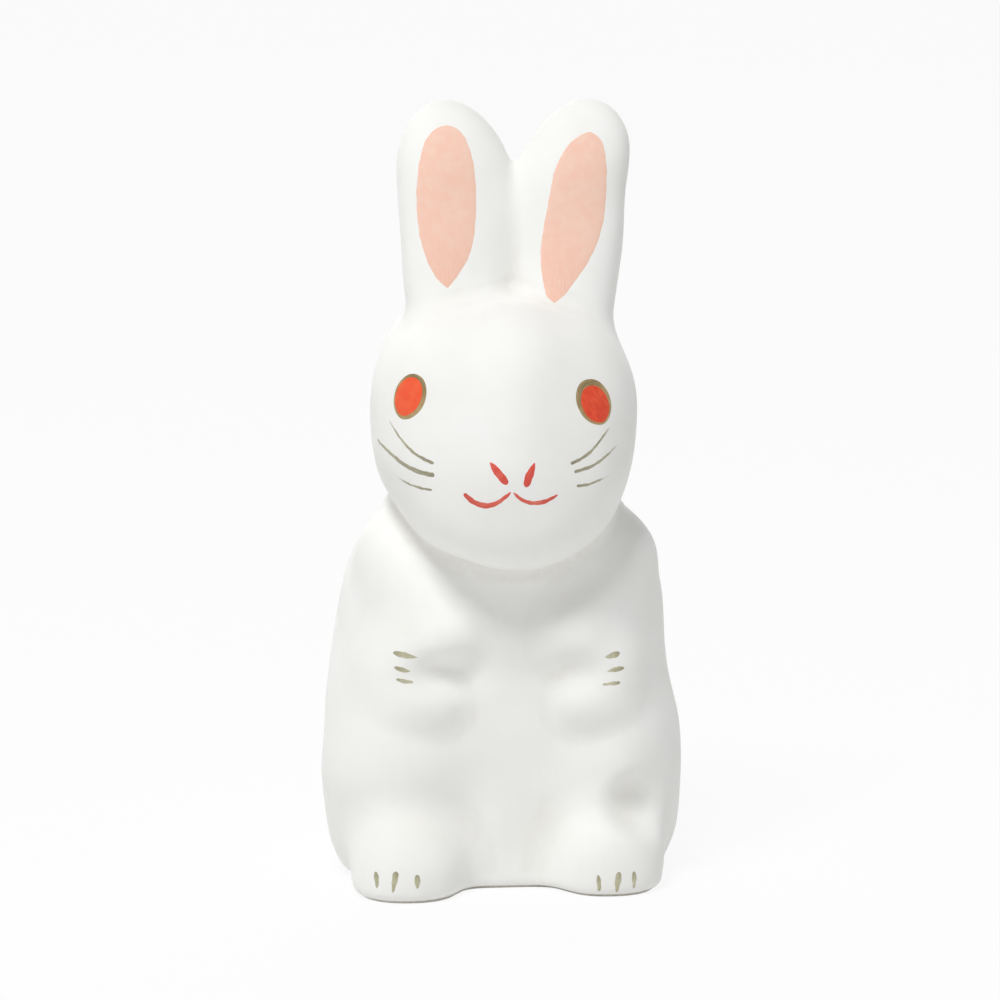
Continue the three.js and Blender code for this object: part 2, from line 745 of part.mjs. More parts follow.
const onPlane = (p) => Math.abs(p[1] - seamY) < 1e-6;
function shells() {
  const skin = drawSkin(0);
  const lining = drawSkin(-wall);
  const floor = stepFloor(skin);
  const round = ringLength(bodyPoints);
  const outer = skin.points.map((p, id) => {
    if (!floor.has(id)) return p;
    const low = sunk(p, stepDepth);
    return id < round ? [low[0], low[1], cardThickness] : low;
  });
  const parted = (points, half) => points.map((p) => {
    return onPlane(p) ? [p[0], seamY + (half * pasteGap) / 2, p[2]] : p;
  });
  return [['front', -1], ['back', 1]].map(([name, half]) => {
    const faces = halfFaces(skin, name);
    return layered(`shell_${name}`, parted(outer, half), parted(lining.points, half), faces, gofun());
  });
}

// A pasted strip from rows of points on the skin, as thick as its paper.
function strip(name, rows) {
  const outer = rows.flat();
  return layered(name, outer, outer.map((p) => sunk(p, stripThickness)), rowFaces(rows), pastedPaper());
}

// A row across a strip, on one side of a level cut.
function stripRow(cut, side) {
  const half = cut.low - pasteGap;
  return [-half, 0, half].map((dy) => cut.cast(side, 0, dy));
}

// The three strips up one side, and the strip in the notch between the ears
function seamStrips() {
  const arch = webArch(0);
  const trunk = trunkHeights(arch);
  const first = cardThickness + pasteGap;
  const earFirst = (arch.highest + stripEnd) / 2;
  const onEar = (name, z, side) => stripRow(section(earMiddle(name, z), z), side);
  const lengths = { body: [first, bodyStripEnd], head: [bodyStripEnd + pasteGap, headStripEnd] };
  const strips = [];
  for (const [name, side] of Object.entries(sides)) {
    const row = (z) => stripRow(section(axisX(z), z), side);
    for (const [part, [from, to]] of Object.entries(lengths)) {
      const between = trunk.filter((z) => z > from + pasteGap && z < to - pasteGap);
      strips.push(strip(`seam_strip_${name}_${part}`, [from, ...between, to].map(row)));
    }
    const above = trunk.filter((z) => z > headStripEnd + 2 * pasteGap);
    const rows = [headStripEnd + pasteGap, ...above].map(row);
    strips.push(strip(`seam_strip_${name}_ear`, [
      ...rows, onEar(name, earFirst, side), onEar(name, stripEnd, side),
    ]));
  }
  const half = arch.low - pasteGap;
  const bottom = [-half, 0, half].map((dy) => reach([noseAside, seamY + dy, headTop], [0, 0, 1]));
  strips.push(strip('seam_strip_notch', [
    onEar('left', stripEnd, 1), onEar('left', earFirst, 1), bottom,
    onEar('right', earFirst, -1), onEar('right', stripEnd, -1),
  ]));
  return strips;
}

// The card under the body: the outline at the floor and at the card's top, each closed by a fan.
function baseCard() {
  const under = ring(axisX(0), 0, bodyPoints);
  const over = ring(axisX(cardThickness), cardThickness, bodyPoints);
  const count = under.length;
  const index = [];
  for (let c = 0; c < count; c += 1) {
    const next = (c + 1) % count;
    index.push(c, next, count + next, c, count + next, count + c);
    index.push(next, c, 2 * count, count + c, count + next, 2 * count + 1);
  }
  const positions = [...under, ...over, [axisX(0), seamY, 0], [axisX(0), seamY, cardThickness]];
  return solid('base_card', positions, index, card());
}

// Painted marks are thin coats that follow the skin, drawn with this many rows or points.
const strokeCount = 7;
const eyeCount = 20;
const pinkCount = 10;
function coat(name, points, faces, material) {
  const raised = (lift) => points.map((p) => sunk(p, -lift));
  return layered(name, raised(paintLift + paintThickness), raised(paintLift), faces, material);
}

// A place on the head: turn in degrees round it from the front, up in shares of its half height.
function onHead([turn, up]) {
  const angle = THREE.MathUtils.degToRad(turn);
  const from = [0, headY, headLevel + (up * headHeight) / 2];
  return reach(from, [Math.sin(angle), -Math.cos(angle), 0]);
}
const onFront = (x, z) => reach([x, seamY, z], [0, -1, 0]);

// A brush stroke along places on the skin, heavy at its start, with round ends.
function stroke(name, places, width, fade, material) {
  const line = new THREE.CatmullRomCurve3(places.map((p) => new THREE.Vector3(...p)));
  const rows = Array.from({ length: strokeCount + 1 }, (_, k) => {
    const t = (1 - Math.cos((Math.PI * k) / strokeCount)) / 2;
    const p = onto(line.getPoint(t).toArray());
    if (k === 0 || k === strokeCount) return [p];
    const side = new THREE.Vector3(...outward(p)).cross(line.getTangent(t)).normalize().toArray();
    const half = (width / 2) * (1 - fade * t) * Math.sqrt(1 - Math.abs(2 * t - 1) ** 6);
    return [-half, 0, half].map((d) => onto(p.map((value, i) => value + side[i] * d)));
  });
  return coat(name, rows.flat(), rowFaces(rows), material);
}

// An eye: a red oval inside a gold ring, drawn on the plane that touches the head there.
function eye(name, turn, rise, tilt) {
  const centre = onHead([turn, rise / (headHeight / 2)]);
  const out = new THREE.Vector3(...outward(centre));
  const turned = THREE.MathUtils.degToRad(tilt);
  const side = new THREE.Vector3(0, 0, 1).cross(out).normalize().applyAxisAngle(out, turned);
  const up = out.clone().cross(side);
  const oval = (inset, share = 1) => Array.from({ length: eyeCount }, (_, k) => {
    const angle = (2 * Math.PI * k) / eyeCount;
    const a = Math.cos(angle) * share * (eyeWidth / 2 - inset);
    const b = Math.sin(angle) * share * (eyeHeight / 2 - inset);
    return onto(centre.map((value, i) => value + side.getComponent(i) * a + up.getComponent(i) * b));
  });
  const loop = (row) => Array.from({ length: eyeCount }, (_, k) => {
    const next = (k + 1) % eyeCount;
    return [row + k, row + next, row + eyeCount + next, row + eyeCount + k];
  });
  const gold = [...oval(0), ...oval(eyeRing)];
  const pupil = eyeRing + paintLift;
  const red = [...oval(pupil), ...oval(pupil, 0.5), centre];
  const middle = loop(eyeCount).map(([a, b]) => [a, b, 2 * eyeCount]);
  return [
    coat(`eye_ring_${name}`, gold, loop(0), ringGold()),
    coat(`eye_${name}`, red, [...loop(0), ...middle], eyeRed()),
  ];
}

// The pink of an ear, between its two edges from bottom to top.
function earPatch(name) {
  const { left, right } = pinkEdges[name];
  const [bottom, top] = [left[0][0], left.at(-1)[0]];
  const rows = Array.from({ length: pinkCount + 1 }, (_, k) => {
    const share = bottom + ((top - bottom) * (1 - Math.cos((Math.PI * k) / pinkCount))) / 2;
    const z = earRoot + share * earLength;
    const edgeX = (edge) => earMiddle(name, z) + (earWidth / 2) * along(share, edge);
    const [from, to] = [edgeX(left), edgeX(right)];
    if (k === 0 || k === pinkCount) return [onFront((from + to) / 2, z)];
    return [0, 0.25, 0.5, 0.75, 1].map((across) => onFront(from + (to - from) * across, z));
  });
  return coat(`ear_pink_${name}`, rows.flat(), rowFaces(rows), earPink());
}

function paintedMarks() {
  const marks = [
    ...eye('left', leftEyeTurn, leftEyeRise, leftEyeTilt),
    ...eye('right', rightEyeTurn, rightEyeRise, rightEyeTilt),
  ];
  for (const [name, side] of Object.entries(sides)) {
    marks.push(earPatch(name));
    marks.push(stroke(`nostril_${name}`, nostrils[name].map(onHead), nostrilWidth, 0.3, noseRed()));
    marks.push(stroke(`mouth_${name}`, mouths[name].map(onHead), mouthWidth, 0.35, mouthRed()));
    whiskers[name].forEach((places, k) => {
      const line = places.map(onHead);
      marks.push(stroke(`whisker_${name}_${k + 1}`, line, whiskerWidth, 0.5, whiskerGold()));
    });
    pawClaws[name].forEach((places, k) => {
      const onPaw = places.map(([across, up]) => {
        const z = knuckleLevel + (up * knuckleHeight) / 2;
        return onFront(side * knuckleX + lean(z) + (across * knuckleWidth) / 2, z);
      });
      marks.push(stroke(`paw_claw_${name}_${k + 1}`, onPaw, pawClawWidth, 0.3, clawGold()));
    });
    toeClaws[name].forEach((places, k) => {
      const onFoot = places.map(([across, up]) => {
        const z = footLevel + up * footRise;
        return onFront(side * footX[name] + lean(z) + (across * footWidth[name]) / 2, z);
      });
      marks.push(stroke(`toe_claw_${name}_${k + 1}`, onFoot, toeClawWidth, 0.2, clawGold()));
    });
  }
  return marks;
}

const papierMacheRabbit = new THREE.Group();
papierMacheRabbit.add(...shells(), ...seamStrips(), baseCard(), ...paintedMarks());

export default papierMacheRabbit;
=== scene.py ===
# %% [markdown]
# # A papier-mache rabbit, dressed for its portrait
# The real rabbit is made of paper. Damp sheets are pasted over a mould, the dry shell is cut off in
# two halves, the halves are joined again with paper strips, and a card closes the base. Then comes
# a matt white ground of powdered shell and glue, and last the paint.
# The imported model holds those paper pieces. This lesson gives them their skin: one white coat over
# everything, and on it each mark that the painter's brush left.

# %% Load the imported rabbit
import math

import bmesh
import bpy
import numpy as np
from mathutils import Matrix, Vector


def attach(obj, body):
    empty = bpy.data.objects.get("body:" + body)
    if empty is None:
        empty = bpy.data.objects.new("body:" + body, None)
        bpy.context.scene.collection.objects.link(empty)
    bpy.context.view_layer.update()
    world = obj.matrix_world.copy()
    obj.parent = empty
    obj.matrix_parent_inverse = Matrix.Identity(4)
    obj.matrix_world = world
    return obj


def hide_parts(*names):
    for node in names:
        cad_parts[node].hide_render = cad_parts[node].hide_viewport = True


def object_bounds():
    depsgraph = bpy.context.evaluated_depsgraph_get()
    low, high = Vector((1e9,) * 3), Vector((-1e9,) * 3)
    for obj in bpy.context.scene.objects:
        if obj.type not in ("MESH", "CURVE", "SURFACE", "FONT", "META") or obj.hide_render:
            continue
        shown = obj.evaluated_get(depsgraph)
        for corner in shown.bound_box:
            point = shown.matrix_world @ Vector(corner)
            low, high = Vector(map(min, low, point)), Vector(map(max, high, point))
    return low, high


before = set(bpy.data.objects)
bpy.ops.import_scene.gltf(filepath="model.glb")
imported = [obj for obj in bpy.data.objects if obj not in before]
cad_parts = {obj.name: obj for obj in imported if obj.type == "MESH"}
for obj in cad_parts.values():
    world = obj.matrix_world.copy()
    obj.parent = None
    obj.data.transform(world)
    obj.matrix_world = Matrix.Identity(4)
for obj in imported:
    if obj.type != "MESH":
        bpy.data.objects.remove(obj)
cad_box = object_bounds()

MM = 0.001
print("paper pieces and paint coats in the packed rabbit:", len(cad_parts))
print("its size in mm:", [round(side / MM, 1) for side in cad_box[1] - cad_box[0]])

# %% [markdown]
# ## The camera
# A small figure is photographed from about a metre away with a long lens, so that its feet don't
# look bigger than its ears. The camera stands 12 degrees above the rabbit and a little to its
# right hand, which is our left.

# %% Set up the camera
CAMERA_ROUND = math.radians(5.4)
CAMERA_ABOVE = math.radians(12)
CAMERA_DISTANCE = 1.0
FIGURE_MIDDLE = Vector((0, 0, 0.05))
SENSOR = 36
LENS = 280.8
FRAME_SHIFT = (-0.0015, -0.0115)
SIGHT_LIMIT = 10


def put_in_scene(name, data):
    """A new object in the scene, made of this camera, lamp or mesh."""
    thing = bpy.data.objects.new(name, data)
    bpy.context.scene.collection.objects.link(thing)
    return thing


def aim(thing, place, ahead):
    """Stands a camera or a lamp at a place, facing ahead."""
    thing.location = place
    thing.rotation_mode = "QUATERNION"
    thing.rotation_quaternion = ahead.to_track_quat("-Z", "Y")


def set_up_camera():
    """A long lens, aimed at the middle of the figure."""
    level = math.cos(CAMERA_ABOVE)
    across, away = math.sin(CAMERA_ROUND) * level, math.cos(CAMERA_ROUND) * level
    ahead = Vector((across, away, -math.sin(CAMERA_ABOVE)))
    lens = bpy.data.cameras.new("portrait_lens")
    lens.lens, lens.sensor_width = LENS, SENSOR
    lens.shift_x, lens.shift_y = FRAME_SHIFT
    lens.clip_end = SIGHT_LIMIT
    camera = put_in_scene("portrait_camera", lens)
    aim(camera, FIGURE_MIDDLE - ahead * CAMERA_DISTANCE, ahead)
    bpy.context.scene.camera = camera
    return camera


camera = set_up_camera()
print("camera stands at", [round(value, 3) for value in camera.location])

# %% [markdown]
# ## Light
# The white ground is nearly as bright as paper can be, so the light has to be gentle. One soft lamp
# stands high on the left and draws the shadow under the chin. The rest comes from a white table and
# a white sheet behind it, which glow near the horizon, while the ceiling is dim. That low glow is
# what keeps the rabbit's edges light and leaves its shoulder, under the head, in shade.

# %% Helpers for the nodes of a shader
def fill_sockets(tree, node, values):
    """Gives a node's sockets plain values, or links them to other nodes' outputs."""
    for socket, value in values.items():
        if isinstance(value, bpy.types.NodeSocket):
            tree.links.new(value, node.inputs[socket])
        else:
            node.inputs[socket].default_value = value


def spread(tree, number, low, high, to_low=0.0, to_high=1.0, smooth=False):
    """Stretches a number's range to another range, and holds it inside."""
    node = tree.nodes.new("ShaderNodeMapRange")
    node.interpolation_type = "SMOOTHSTEP" if smooth else "LINEAR"
    limits = {"From Min": low, "From Max": high, "To Min": to_low, "To Max": to_high}
    fill_sockets(tree, node, {"Value": number, **limits})
    return node.outputs["Result"]


def combine(tree, operation, a, b):
    """One number from two, either of which may be plain."""
    node = tree.nodes.new("ShaderNodeMath")
    node.operation = operation
    fill_sockets(tree, node, {0: a, 1: b})
    return node.outputs[0]


print("numbers can be spread and combined")

# %% Hang the lamp and fill the room
LAMP_PLACE = Vector((-0.25, -0.38, 0.94))
LAMP_WIDTH = 0.3
LAMP_POWER = 6.5
HORIZON_GLOW = 1.02
CEILING_GLOW = 0.2
GLOW_HEIGHT = 0.6
SHEET_GLOW = 1.5
SHEET_EDGE = 0.4


def hang_lamp():
    """A square soft lamp, aimed at the middle of the figure."""
    light = bpy.data.lights.new("window_lamp", "AREA")
    light.size, light.energy = LAMP_WIDTH, LAMP_POWER
    aim(put_in_scene("window_lamp", light), LAMP_PLACE, FIGURE_MIDDLE - LAMP_PLACE)


def fill_room():
    """A pale room that glows near the horizon, more so behind the rabbit."""
    world = bpy.data.worlds.new("pale_room")
    world.use_nodes = True
    tree = world.node_tree
    direction = tree.nodes.new("ShaderNodeTexCoord")
    parts = tree.nodes.new("ShaderNodeSeparateXYZ")
    fill_sockets(tree, parts, {0: direction.outputs["Generated"]})
    glow = spread(tree, parts.outputs["Z"], 0, GLOW_HEIGHT, HORIZON_GLOW, CEILING_GLOW, True)
    sheet = spread(tree, parts.outputs["Y"], SHEET_EDGE, 1, 0, SHEET_GLOW, True)
    strength = combine(tree, "ADD", glow, sheet)
    fill_sockets(tree, tree.nodes["Background"], {"Color": (1, 1, 1, 1), "Strength": strength})
    bpy.context.scene.world = world


hang_lamp()
fill_room()
bpy.context.scene.view_settings.view_transform = "Standard"
print("lamp is", round(LAMP_PLACE.length, 2), "m from the rabbit's feet")

# %% [markdown]
# ## The table
# The rabbit stands on a white table that runs on out of sight. The camera sees it as pure white,
# but part of that is real lit surface, so the rabbit's own soft shadow stays on it.

# %% Lay the table
TABLE_HALF = 6.0
TABLE_WHITE = 0.86
TABLE_GLOW = 0.9
TABLE_ROUGHNESS = 0.9


def new_finish(name, roughness, metallic=0.0):
    """A material, its tree of nodes and its shader."""
    finish = bpy.data.materials.new(name)
    finish.use_nodes = True
    shader = finish.node_tree.nodes["Principled BSDF"]
    fill_sockets(finish.node_tree, shader, {"Roughness": roughness, "Metallic": metallic})
    return finish, finish.node_tree, shader


def white_table():
    """A flat sheet whose glow is seen by the camera alone."""
    mesh = bpy.data.meshes.new("white_table")
    build = bmesh.new()
    bmesh.ops.create_grid(build, x_segments=8, y_segments=8, size=TABLE_HALF)
    build.to_mesh(mesh)
    build.free()
    finish, tree, lit = new_finish("white_table", TABLE_ROUGHNESS)
    fill_sockets(tree, lit, {"Base Color": (TABLE_WHITE, TABLE_WHITE, TABLE_WHITE, 1)})
    glow = tree.nodes.new("ShaderNodeEmission")
    fill_sockets(tree, glow, {"Color": (1, 1, 1, 1)})
    seen = tree.nodes.new("ShaderNodeLightPath")
    share = combine(tree, "MULTIPLY", seen.outputs["Is Camera Ray"], TABLE_GLOW)
    mix = tree.nodes.new("ShaderNodeMixShader")
    fill_sockets(tree, mix, {0: share, 1: lit.outputs[0], 2: glow.outputs[0]})
    fill_sockets(tree, tree.nodes["Material Output"], {"Surface": mix.outputs[0]})
    mesh.materials.append(finish)
    table = put_in_scene("white_table", mesh)
    return table


white_table()
print("the table reaches", TABLE_HALF, "m each way")

# %% [markdown]
# ## A form made of soft lumps
# Clay for the mould is built up from lumps that are smeared into each other: an egg for the head,
# a block for the body, two long petals for the ears. The same can be done with numbers. Each lump
# is a function that is negative inside and positive outside, and joining two lumps takes the
# smaller value, with a fillet where they meet. One function then stands for the whole rabbit, and
# the skin is where its value is zero. That beats a modelled mesh here, because every painted mark
# can later ask the same function where the skin is. Sizes in these cells are in millimetres.

# %% Lumps and how they join
def along(place, stations):
    """The smooth curve through (place, value) stations, at one place or many."""
    at = np.array([station[0] for station in stations], float)
    value = np.array([station[1] for station in stations], float)
    last = len(at) - 1
    before = np.maximum(np.arange(last + 1) - 1, 0)
    after = np.minimum(np.arange(last + 1) + 1, last)
    slope = (value[after] - value[before]) / (at[after] - at[before])
    place = np.clip(place, at[0], at[last])
    i = np.clip(np.searchsorted(at, place, side="right") - 1, 0, last - 1)
    step = at[i + 1] - at[i]
    t = (place - at[i]) / step
    start = value[i] * (1 + 2 * t) * (1 - t) ** 2 + slope[i] * step * t * (1 - t) ** 2
    end = value[i + 1] * t * t * (3 - 2 * t) + slope[i + 1] * step * t * t * (t - 1)
    return start + end


def join(a, b, fillet):
    """Two lumps as one, with a fillet about this wide between them."""
    share = np.clip(0.5 + 0.5 * (b - a) / fillet, 0, 1)
    return b + (a - b) * share - fillet * share * (1 - share)


def press(a, b, fillet):
    """Lump a with the shape of b pressed into it."""
    return -join(-a, b, fillet)


def egg(x, y, z, centre, half, power=2.0):
    """An egg with these half sizes. A power over 2 makes it squarer."""
    total = sum(np.abs((p - c) / h) ** power for p, c, h in zip((x, y, z), centre, half))
    return (total ** (1 / power) - 1) * min(half)


def limb(x, y, z, start, end, start_radius, end_radius):
    """A limb that tapers from start to end, with round ends."""
    run = [b - a for a, b in zip(start, end)]
    dot = sum((p - a) * r for p, a, r in zip((x, y, z), start, run))
    t = np.clip(dot / sum(r * r for r in run), 0, 1)
    off = np.sqrt(sum((p - a - t * r) ** 2 for p, a, r in zip((x, y, z), start, run)))
    return off - (start_radius + (end_radius - start_radius) * t)


print("an egg of half size 2 is", egg(5, 0, 0, (0, 0, 0), (2, 2, 2)), "mm away at 5 mm")

# %% [markdown]
# ## The body
# The body is an upright block with round corners that narrows to the shoulders. Its plan is a
# squarish oval, so it keeps the flat front that a two-part mould gives.

# %% The trunk of the body
BODY_HEIGHT = 50
BODY_WIDTH = 44.6
BODY_DEPTH = 30
BODY_SET_BACK = 4
BODY_SQUARENESS = 2.8
BODY_LEAN = 0.35
COLLAR_RISE = 3
WIDTH_SHARES = [
    (-0.08, 0.87), (0, 0.925), (0.1, 1.005), (0.24, 0.997), (0.36, 0.97), (0.48, 0.973),
    (0.62, 0.951), (0.74, 0.915), (0.84, 0.839), (0.92, 0.735), (1, 0.61), (1.1, 0.493),
]
DEPTH_SHARES = [
    (-0.08, 0.94), (0, 1), (0.16, 1), (0.36, 1), (0.56, 0.96),
    (0.76, 0.867), (0.88, 0.78), (1, 0.653), (1.1, 0.533),
]
SET_BACK_SHARES = [(0, 0.85), (0.3, 1), (0.6, 0.85), (0.84, 0.7), (1.1, 0.62)]
LEAN_SHARES = [
    (0, 0.3), (0.1, 0.8), (0.26, -0.1), (0.38, -0.2), (0.52, -0.6),
    (0.68, 0.4), (0.86, 1), (1, 0.6), (1.2, 0),
]


def half_width(z):
    return BODY_WIDTH / 2 * along(z / BODY_HEIGHT, WIDTH_SHARES)


def half_depth(z):
    return BODY_DEPTH / 2 * along(z / BODY_HEIGHT, DEPTH_SHARES)


def middle(z):
    return BODY_SET_BACK * along(z / BODY_HEIGHT, SET_BACK_SHARES)


def lean(z):
    return BODY_LEAN * along(z / BODY_HEIGHT, LEAN_SHARES)


def body_front(x, z):
    """How far forward the trunk's front is, at a place across it and a height."""
    across = min(abs(x) / half_width(z), 1) ** BODY_SQUARENESS
    return float(middle(z) - half_depth(z) * (1 - across) ** (1 / BODY_SQUARENESS))


def trunk(x, y, z):
    """The plain block of the body."""
    w, d = half_width(z), half_depth(z)
    across = np.abs(x / w) ** BODY_SQUARENESS
    through = np.abs((y - middle(z)) / d) ** BODY_SQUARENESS
    plan = ((across + through) ** (1 / BODY_SQUARENESS) - 1) * np.minimum(w, d)
    return np.maximum(plan, z - BODY_HEIGHT - COLLAR_RISE)


print("the body's front is at y =", round(body_front(0, BODY_HEIGHT / 2), 2), "mm at half height")

# %% [markdown]
# ## Haunches, feet, arms and tail
# On a mould these stand out only a few millimetres, because the paper has to lie over them and the
# shell has to come off again. So each is a lump that is mostly sunk in the trunk, with a wide
# fillet round it. A shallow hollow is pressed in beside each wrist, towards the chest, and one
# more low on the right, between the haunch and the foot.

# %% The limbs' sizes and places
HAUNCH_HALF = (8, 11, 11.5)
HAUNCH_LEVEL = 15.5
HAUNCH_INSET = 8.5
HAUNCH_PROUD = {"left": 2.3, "right": 1.1}
HAUNCH_FILLET = 5
FOOT_HALF_WIDTH = {"left": 7, "right": 6.6}
FOOT_RISE = 7.4
FOOT_LEVEL = 2
FOOT_REACH = {"left": 6.8, "right": 5.8}
FOOT_INSET = {"left": 9, "right": 9.7}
FOOT_SQUARENESS = 2.2
FOOT_FILLET = 4.5
SHOULDER_LEVEL, SHOULDER_INSET, SHOULDER_RADIUS = 42, 8.1, 4.5
SHOULDER_SINK = {"left": 4.3, "right": 5.5}
WRIST_LEVEL, WRIST_ASIDE, WRIST_SINK, WRIST_RADIUS = 32.8, 8.7, 2.1, 4.9
KNUCKLE_ASIDE, KNUCKLE_SINK, KNUCKLE_HALF = 13, 2.4, (4.6, 5.2, 6.5)
PAW_LEVEL, PAW_ASIDE, PAW_SINK, PAW_HALF = 24.2, 10.6, 2.35, (5.5, 5, 4.9)
PAW_FILLET = 2
ARM_FILLET = 3
GRIP_INSET = 0.2
GRIP_HALF = (5, 2.6, 2)
GRIP_AHEAD = {"left": 3.9, "right": 5.0}
HOLLOW_ASIDE, HOLLOW_LEVEL, HOLLOW_HALF, HOLLOW_AHEAD = 18.2, 11.2, (5.5, 4, 3.8), 7
HOLLOW_FILLET = 2
TAIL_HALF = (6, 3.6, 6)
TAIL_LEVEL = 9.5
TAIL_FILLET = 3
SIDES = {"left": -1, "right": 1}

KNUCKLE_LEVEL = (WRIST_LEVEL + PAW_LEVEL) / 2
SHOULDER_ASIDE = BODY_WIDTH / 2 - SHOULDER_INSET
FOOT_ASIDE = {name: BODY_WIDTH / 2 - inset for name, inset in FOOT_INSET.items()}
FOOT_AHEAD = body_front(0, FOOT_LEVEL)


def on_front(aside, level, sink):
    """A centre this far to one side, sunk behind the trunk's front."""
    return (aside, body_front(aside, level) + sink, level)


print("the feet stand", round(FOOT_ASIDE["left"], 1), "and", round(FOOT_ASIDE["right"], 1), "mm aside")

# %% The whole body
HAUNCH_ASIDE = BODY_WIDTH / 2 - HAUNCH_INSET
WRIST = on_front(WRIST_ASIDE, WRIST_LEVEL, WRIST_SINK)
KNUCKLE = on_front(KNUCKLE_ASIDE, KNUCKLE_LEVEL, KNUCKLE_SINK)
PAW = on_front(PAW_ASIDE, PAW_LEVEL, PAW_SINK)
TAIL = (0, float(middle(TAIL_LEVEL) + half_depth(TAIL_LEVEL)), TAIL_LEVEL)


def body(x, y, z):
    """The trunk with its haunches, feet, arms, paws and tail."""
    x = x - lean(z)
    form = trunk(x, y, z)
    for name, side in SIDES.items():
        here = side * x
        haunch_y = body_front(0, HAUNCH_LEVEL) - HAUNCH_PROUD[name] + HAUNCH_HALF[1]
        haunch = (HAUNCH_ASIDE, haunch_y, HAUNCH_LEVEL)
        form = join(form, egg(here, y, z, haunch, HAUNCH_HALF), HAUNCH_FILLET)
        foot = (FOOT_ASIDE[name], FOOT_AHEAD, FOOT_LEVEL)
        foot_half = (FOOT_HALF_WIDTH[name], FOOT_REACH[name], FOOT_RISE)
        form = join(form, egg(here, y, z, foot, foot_half, FOOT_SQUARENESS), FOOT_FILLET)
        shoulder = on_front(SHOULDER_ASIDE, SHOULDER_LEVEL, SHOULDER_SINK[name])
        arm = limb(here, y, z, shoulder, WRIST, SHOULDER_RADIUS, WRIST_RADIUS)
        form = join(form, arm, ARM_FILLET)
        form = join(form, egg(here, y, z, KNUCKLE, KNUCKLE_HALF), ARM_FILLET)
        form = join(form, egg(here, y, z, PAW, PAW_HALF), PAW_FILLET)
        grip = on_front(PAW_ASIDE - GRIP_HALF[0] - GRIP_INSET, KNUCKLE_LEVEL, -GRIP_AHEAD[name])
        form = press(form, egg(here, y, z, grip, GRIP_HALF), ARM_FILLET)
    hollow = on_front(HOLLOW_ASIDE, HOLLOW_LEVEL, -HOLLOW_AHEAD)
    form = press(form, egg(x, y, z, hollow, HOLLOW_HALF), HOLLOW_FILLET)
    return join(form, egg(x, y, z, TAIL, TAIL_HALF), TAIL_FILLET)


print("inside the chest the form is", round(float(body(0.0, 0.0, 30.0)), 2), "mm deep")

# %% [markdown]
# ## The head
# The head is a rounded block, a little wider than it is deep, and rounder at the chin than at the
# crown. A muzzle fills out its lower half, and a soft bridge runs down from the forehead. It tilts a
# little to one side, as the hand that joined the halves left it.

# %% Model the head
HEAD_HALF = (16.8, 15.4, 16.8)
HEAD_SEAT = 7.3
HEAD_FORWARD = 1.6
HEAD_TILT = math.radians(1.5)
HEAD_SQUARENESS = [(-1, 2.2), (-0.5, 2.45), (0, 2.85), (1, 3)]
HEAD_ROUND_ABOVE, HEAD_ROUND_BELOW = 2.5, 2.25
NOSE_ASIDE = 0.85
MUZZLE_HALF = (10, 6.2, 8.2)
MUZZLE_DROP = 8.1
MUZZLE_PROUD = 1.85
MUZZLE_SQUARENESS = 2.6
BRIDGE_HALF = (4.5, 4.9, 10)
FACE_FILLET = 6
HEAD_TOP = BODY_HEIGHT - HEAD_SEAT + 2 * HEAD_HALF[2]
HEAD_LEVEL = HEAD_TOP - HEAD_HALF[2]


def face_front(drop):
    """How far forward the plain head is, this far below its middle."""
    down = min(drop / HEAD_HALF[2], 1) ** HEAD_ROUND_BELOW
    return -HEAD_FORWARD - HEAD_HALF[1] * (1 - down) ** (1 / HEAD_ROUND_BELOW)


MUZZLE = (NOSE_ASIDE, face_front(MUZZLE_DROP) - MUZZLE_PROUD + MUZZLE_HALF[1], -MUZZLE_DROP)
BRIDGE = (NOSE_ASIDE, face_front(0) + BRIDGE_HALF[1], 0)


def head(x, y, z):
    """The head with its muzzle and the bridge of its nose."""
    rise = z - HEAD_LEVEL
    level, steep = math.cos(HEAD_TILT), math.sin(HEAD_TILT)
    x, z = x * level - rise * steep, x * steep + rise * level
    square = along(z / HEAD_HALF[2], HEAD_SQUARENESS)
    across = np.abs(x / HEAD_HALF[0]) ** square
    through = np.abs((y + HEAD_FORWARD) / HEAD_HALF[1]) ** square
    plan = (across + through) ** (1 / square)
    power = np.where(z > 0, HEAD_ROUND_ABOVE, HEAD_ROUND_BELOW)
    form = ((plan ** power + np.abs(z / HEAD_HALF[2]) ** power) ** (1 / power) - 1) * HEAD_HALF[1]
    form = join(form, egg(x, y, z, MUZZLE, MUZZLE_HALF, MUZZLE_SQUARENESS), FACE_FILLET)
    return join(form, egg(x, y, z, BRIDGE, BRIDGE_HALF), FACE_FILLET)


print("the head's middle is", HEAD_LEVEL, "mm up, and its top", HEAD_TOP)

# %% [markdown]
# ## The ears
# Long thin ears would break off a paper figure, so the mould joins them with a web for more than
# half their length. Each ear is a tall petal that leans out and sweeps back towards its tip.

# %% Model the ears
EAR_LENGTH = 30
EAR_SEAT = 6.3
EAR_HALF_WIDTH = 6.95
EAR_HALF_DEPTH = 4.6
EAR_ASIDE = 6.25
EAR_CAP = {"left": 8.9, "right": 9.8}
EAR_SWEEP = 4.6
EAR_AHEAD = 0.6
EAR_LEAN = {"left": 1.4, "right": 4.1}
EAR_SQUARENESS = 2.4
EAR_FILLET = 1.8
EAR_GROOVE = 1.2
WEB_RISE = 13.2
WEB_SEAT = 1.3
WEB_HALF_WIDTH = 7
WEB_HALF_DEPTH = 4.2
WEB_SQUARENESS = 2.2
WEB_FILLET = 2.5
SEAM_Y = 1.2
LEAN_OUT_SHARES = [(0, 0), (0.35, 0.32), (0.7, 0.56), (0.87, 0.8), (1, 1)]
EAR_WIDTH_SHARES = [(0, 0.93), (0.4, 1), (0.7, 1), (1, 0.985)]
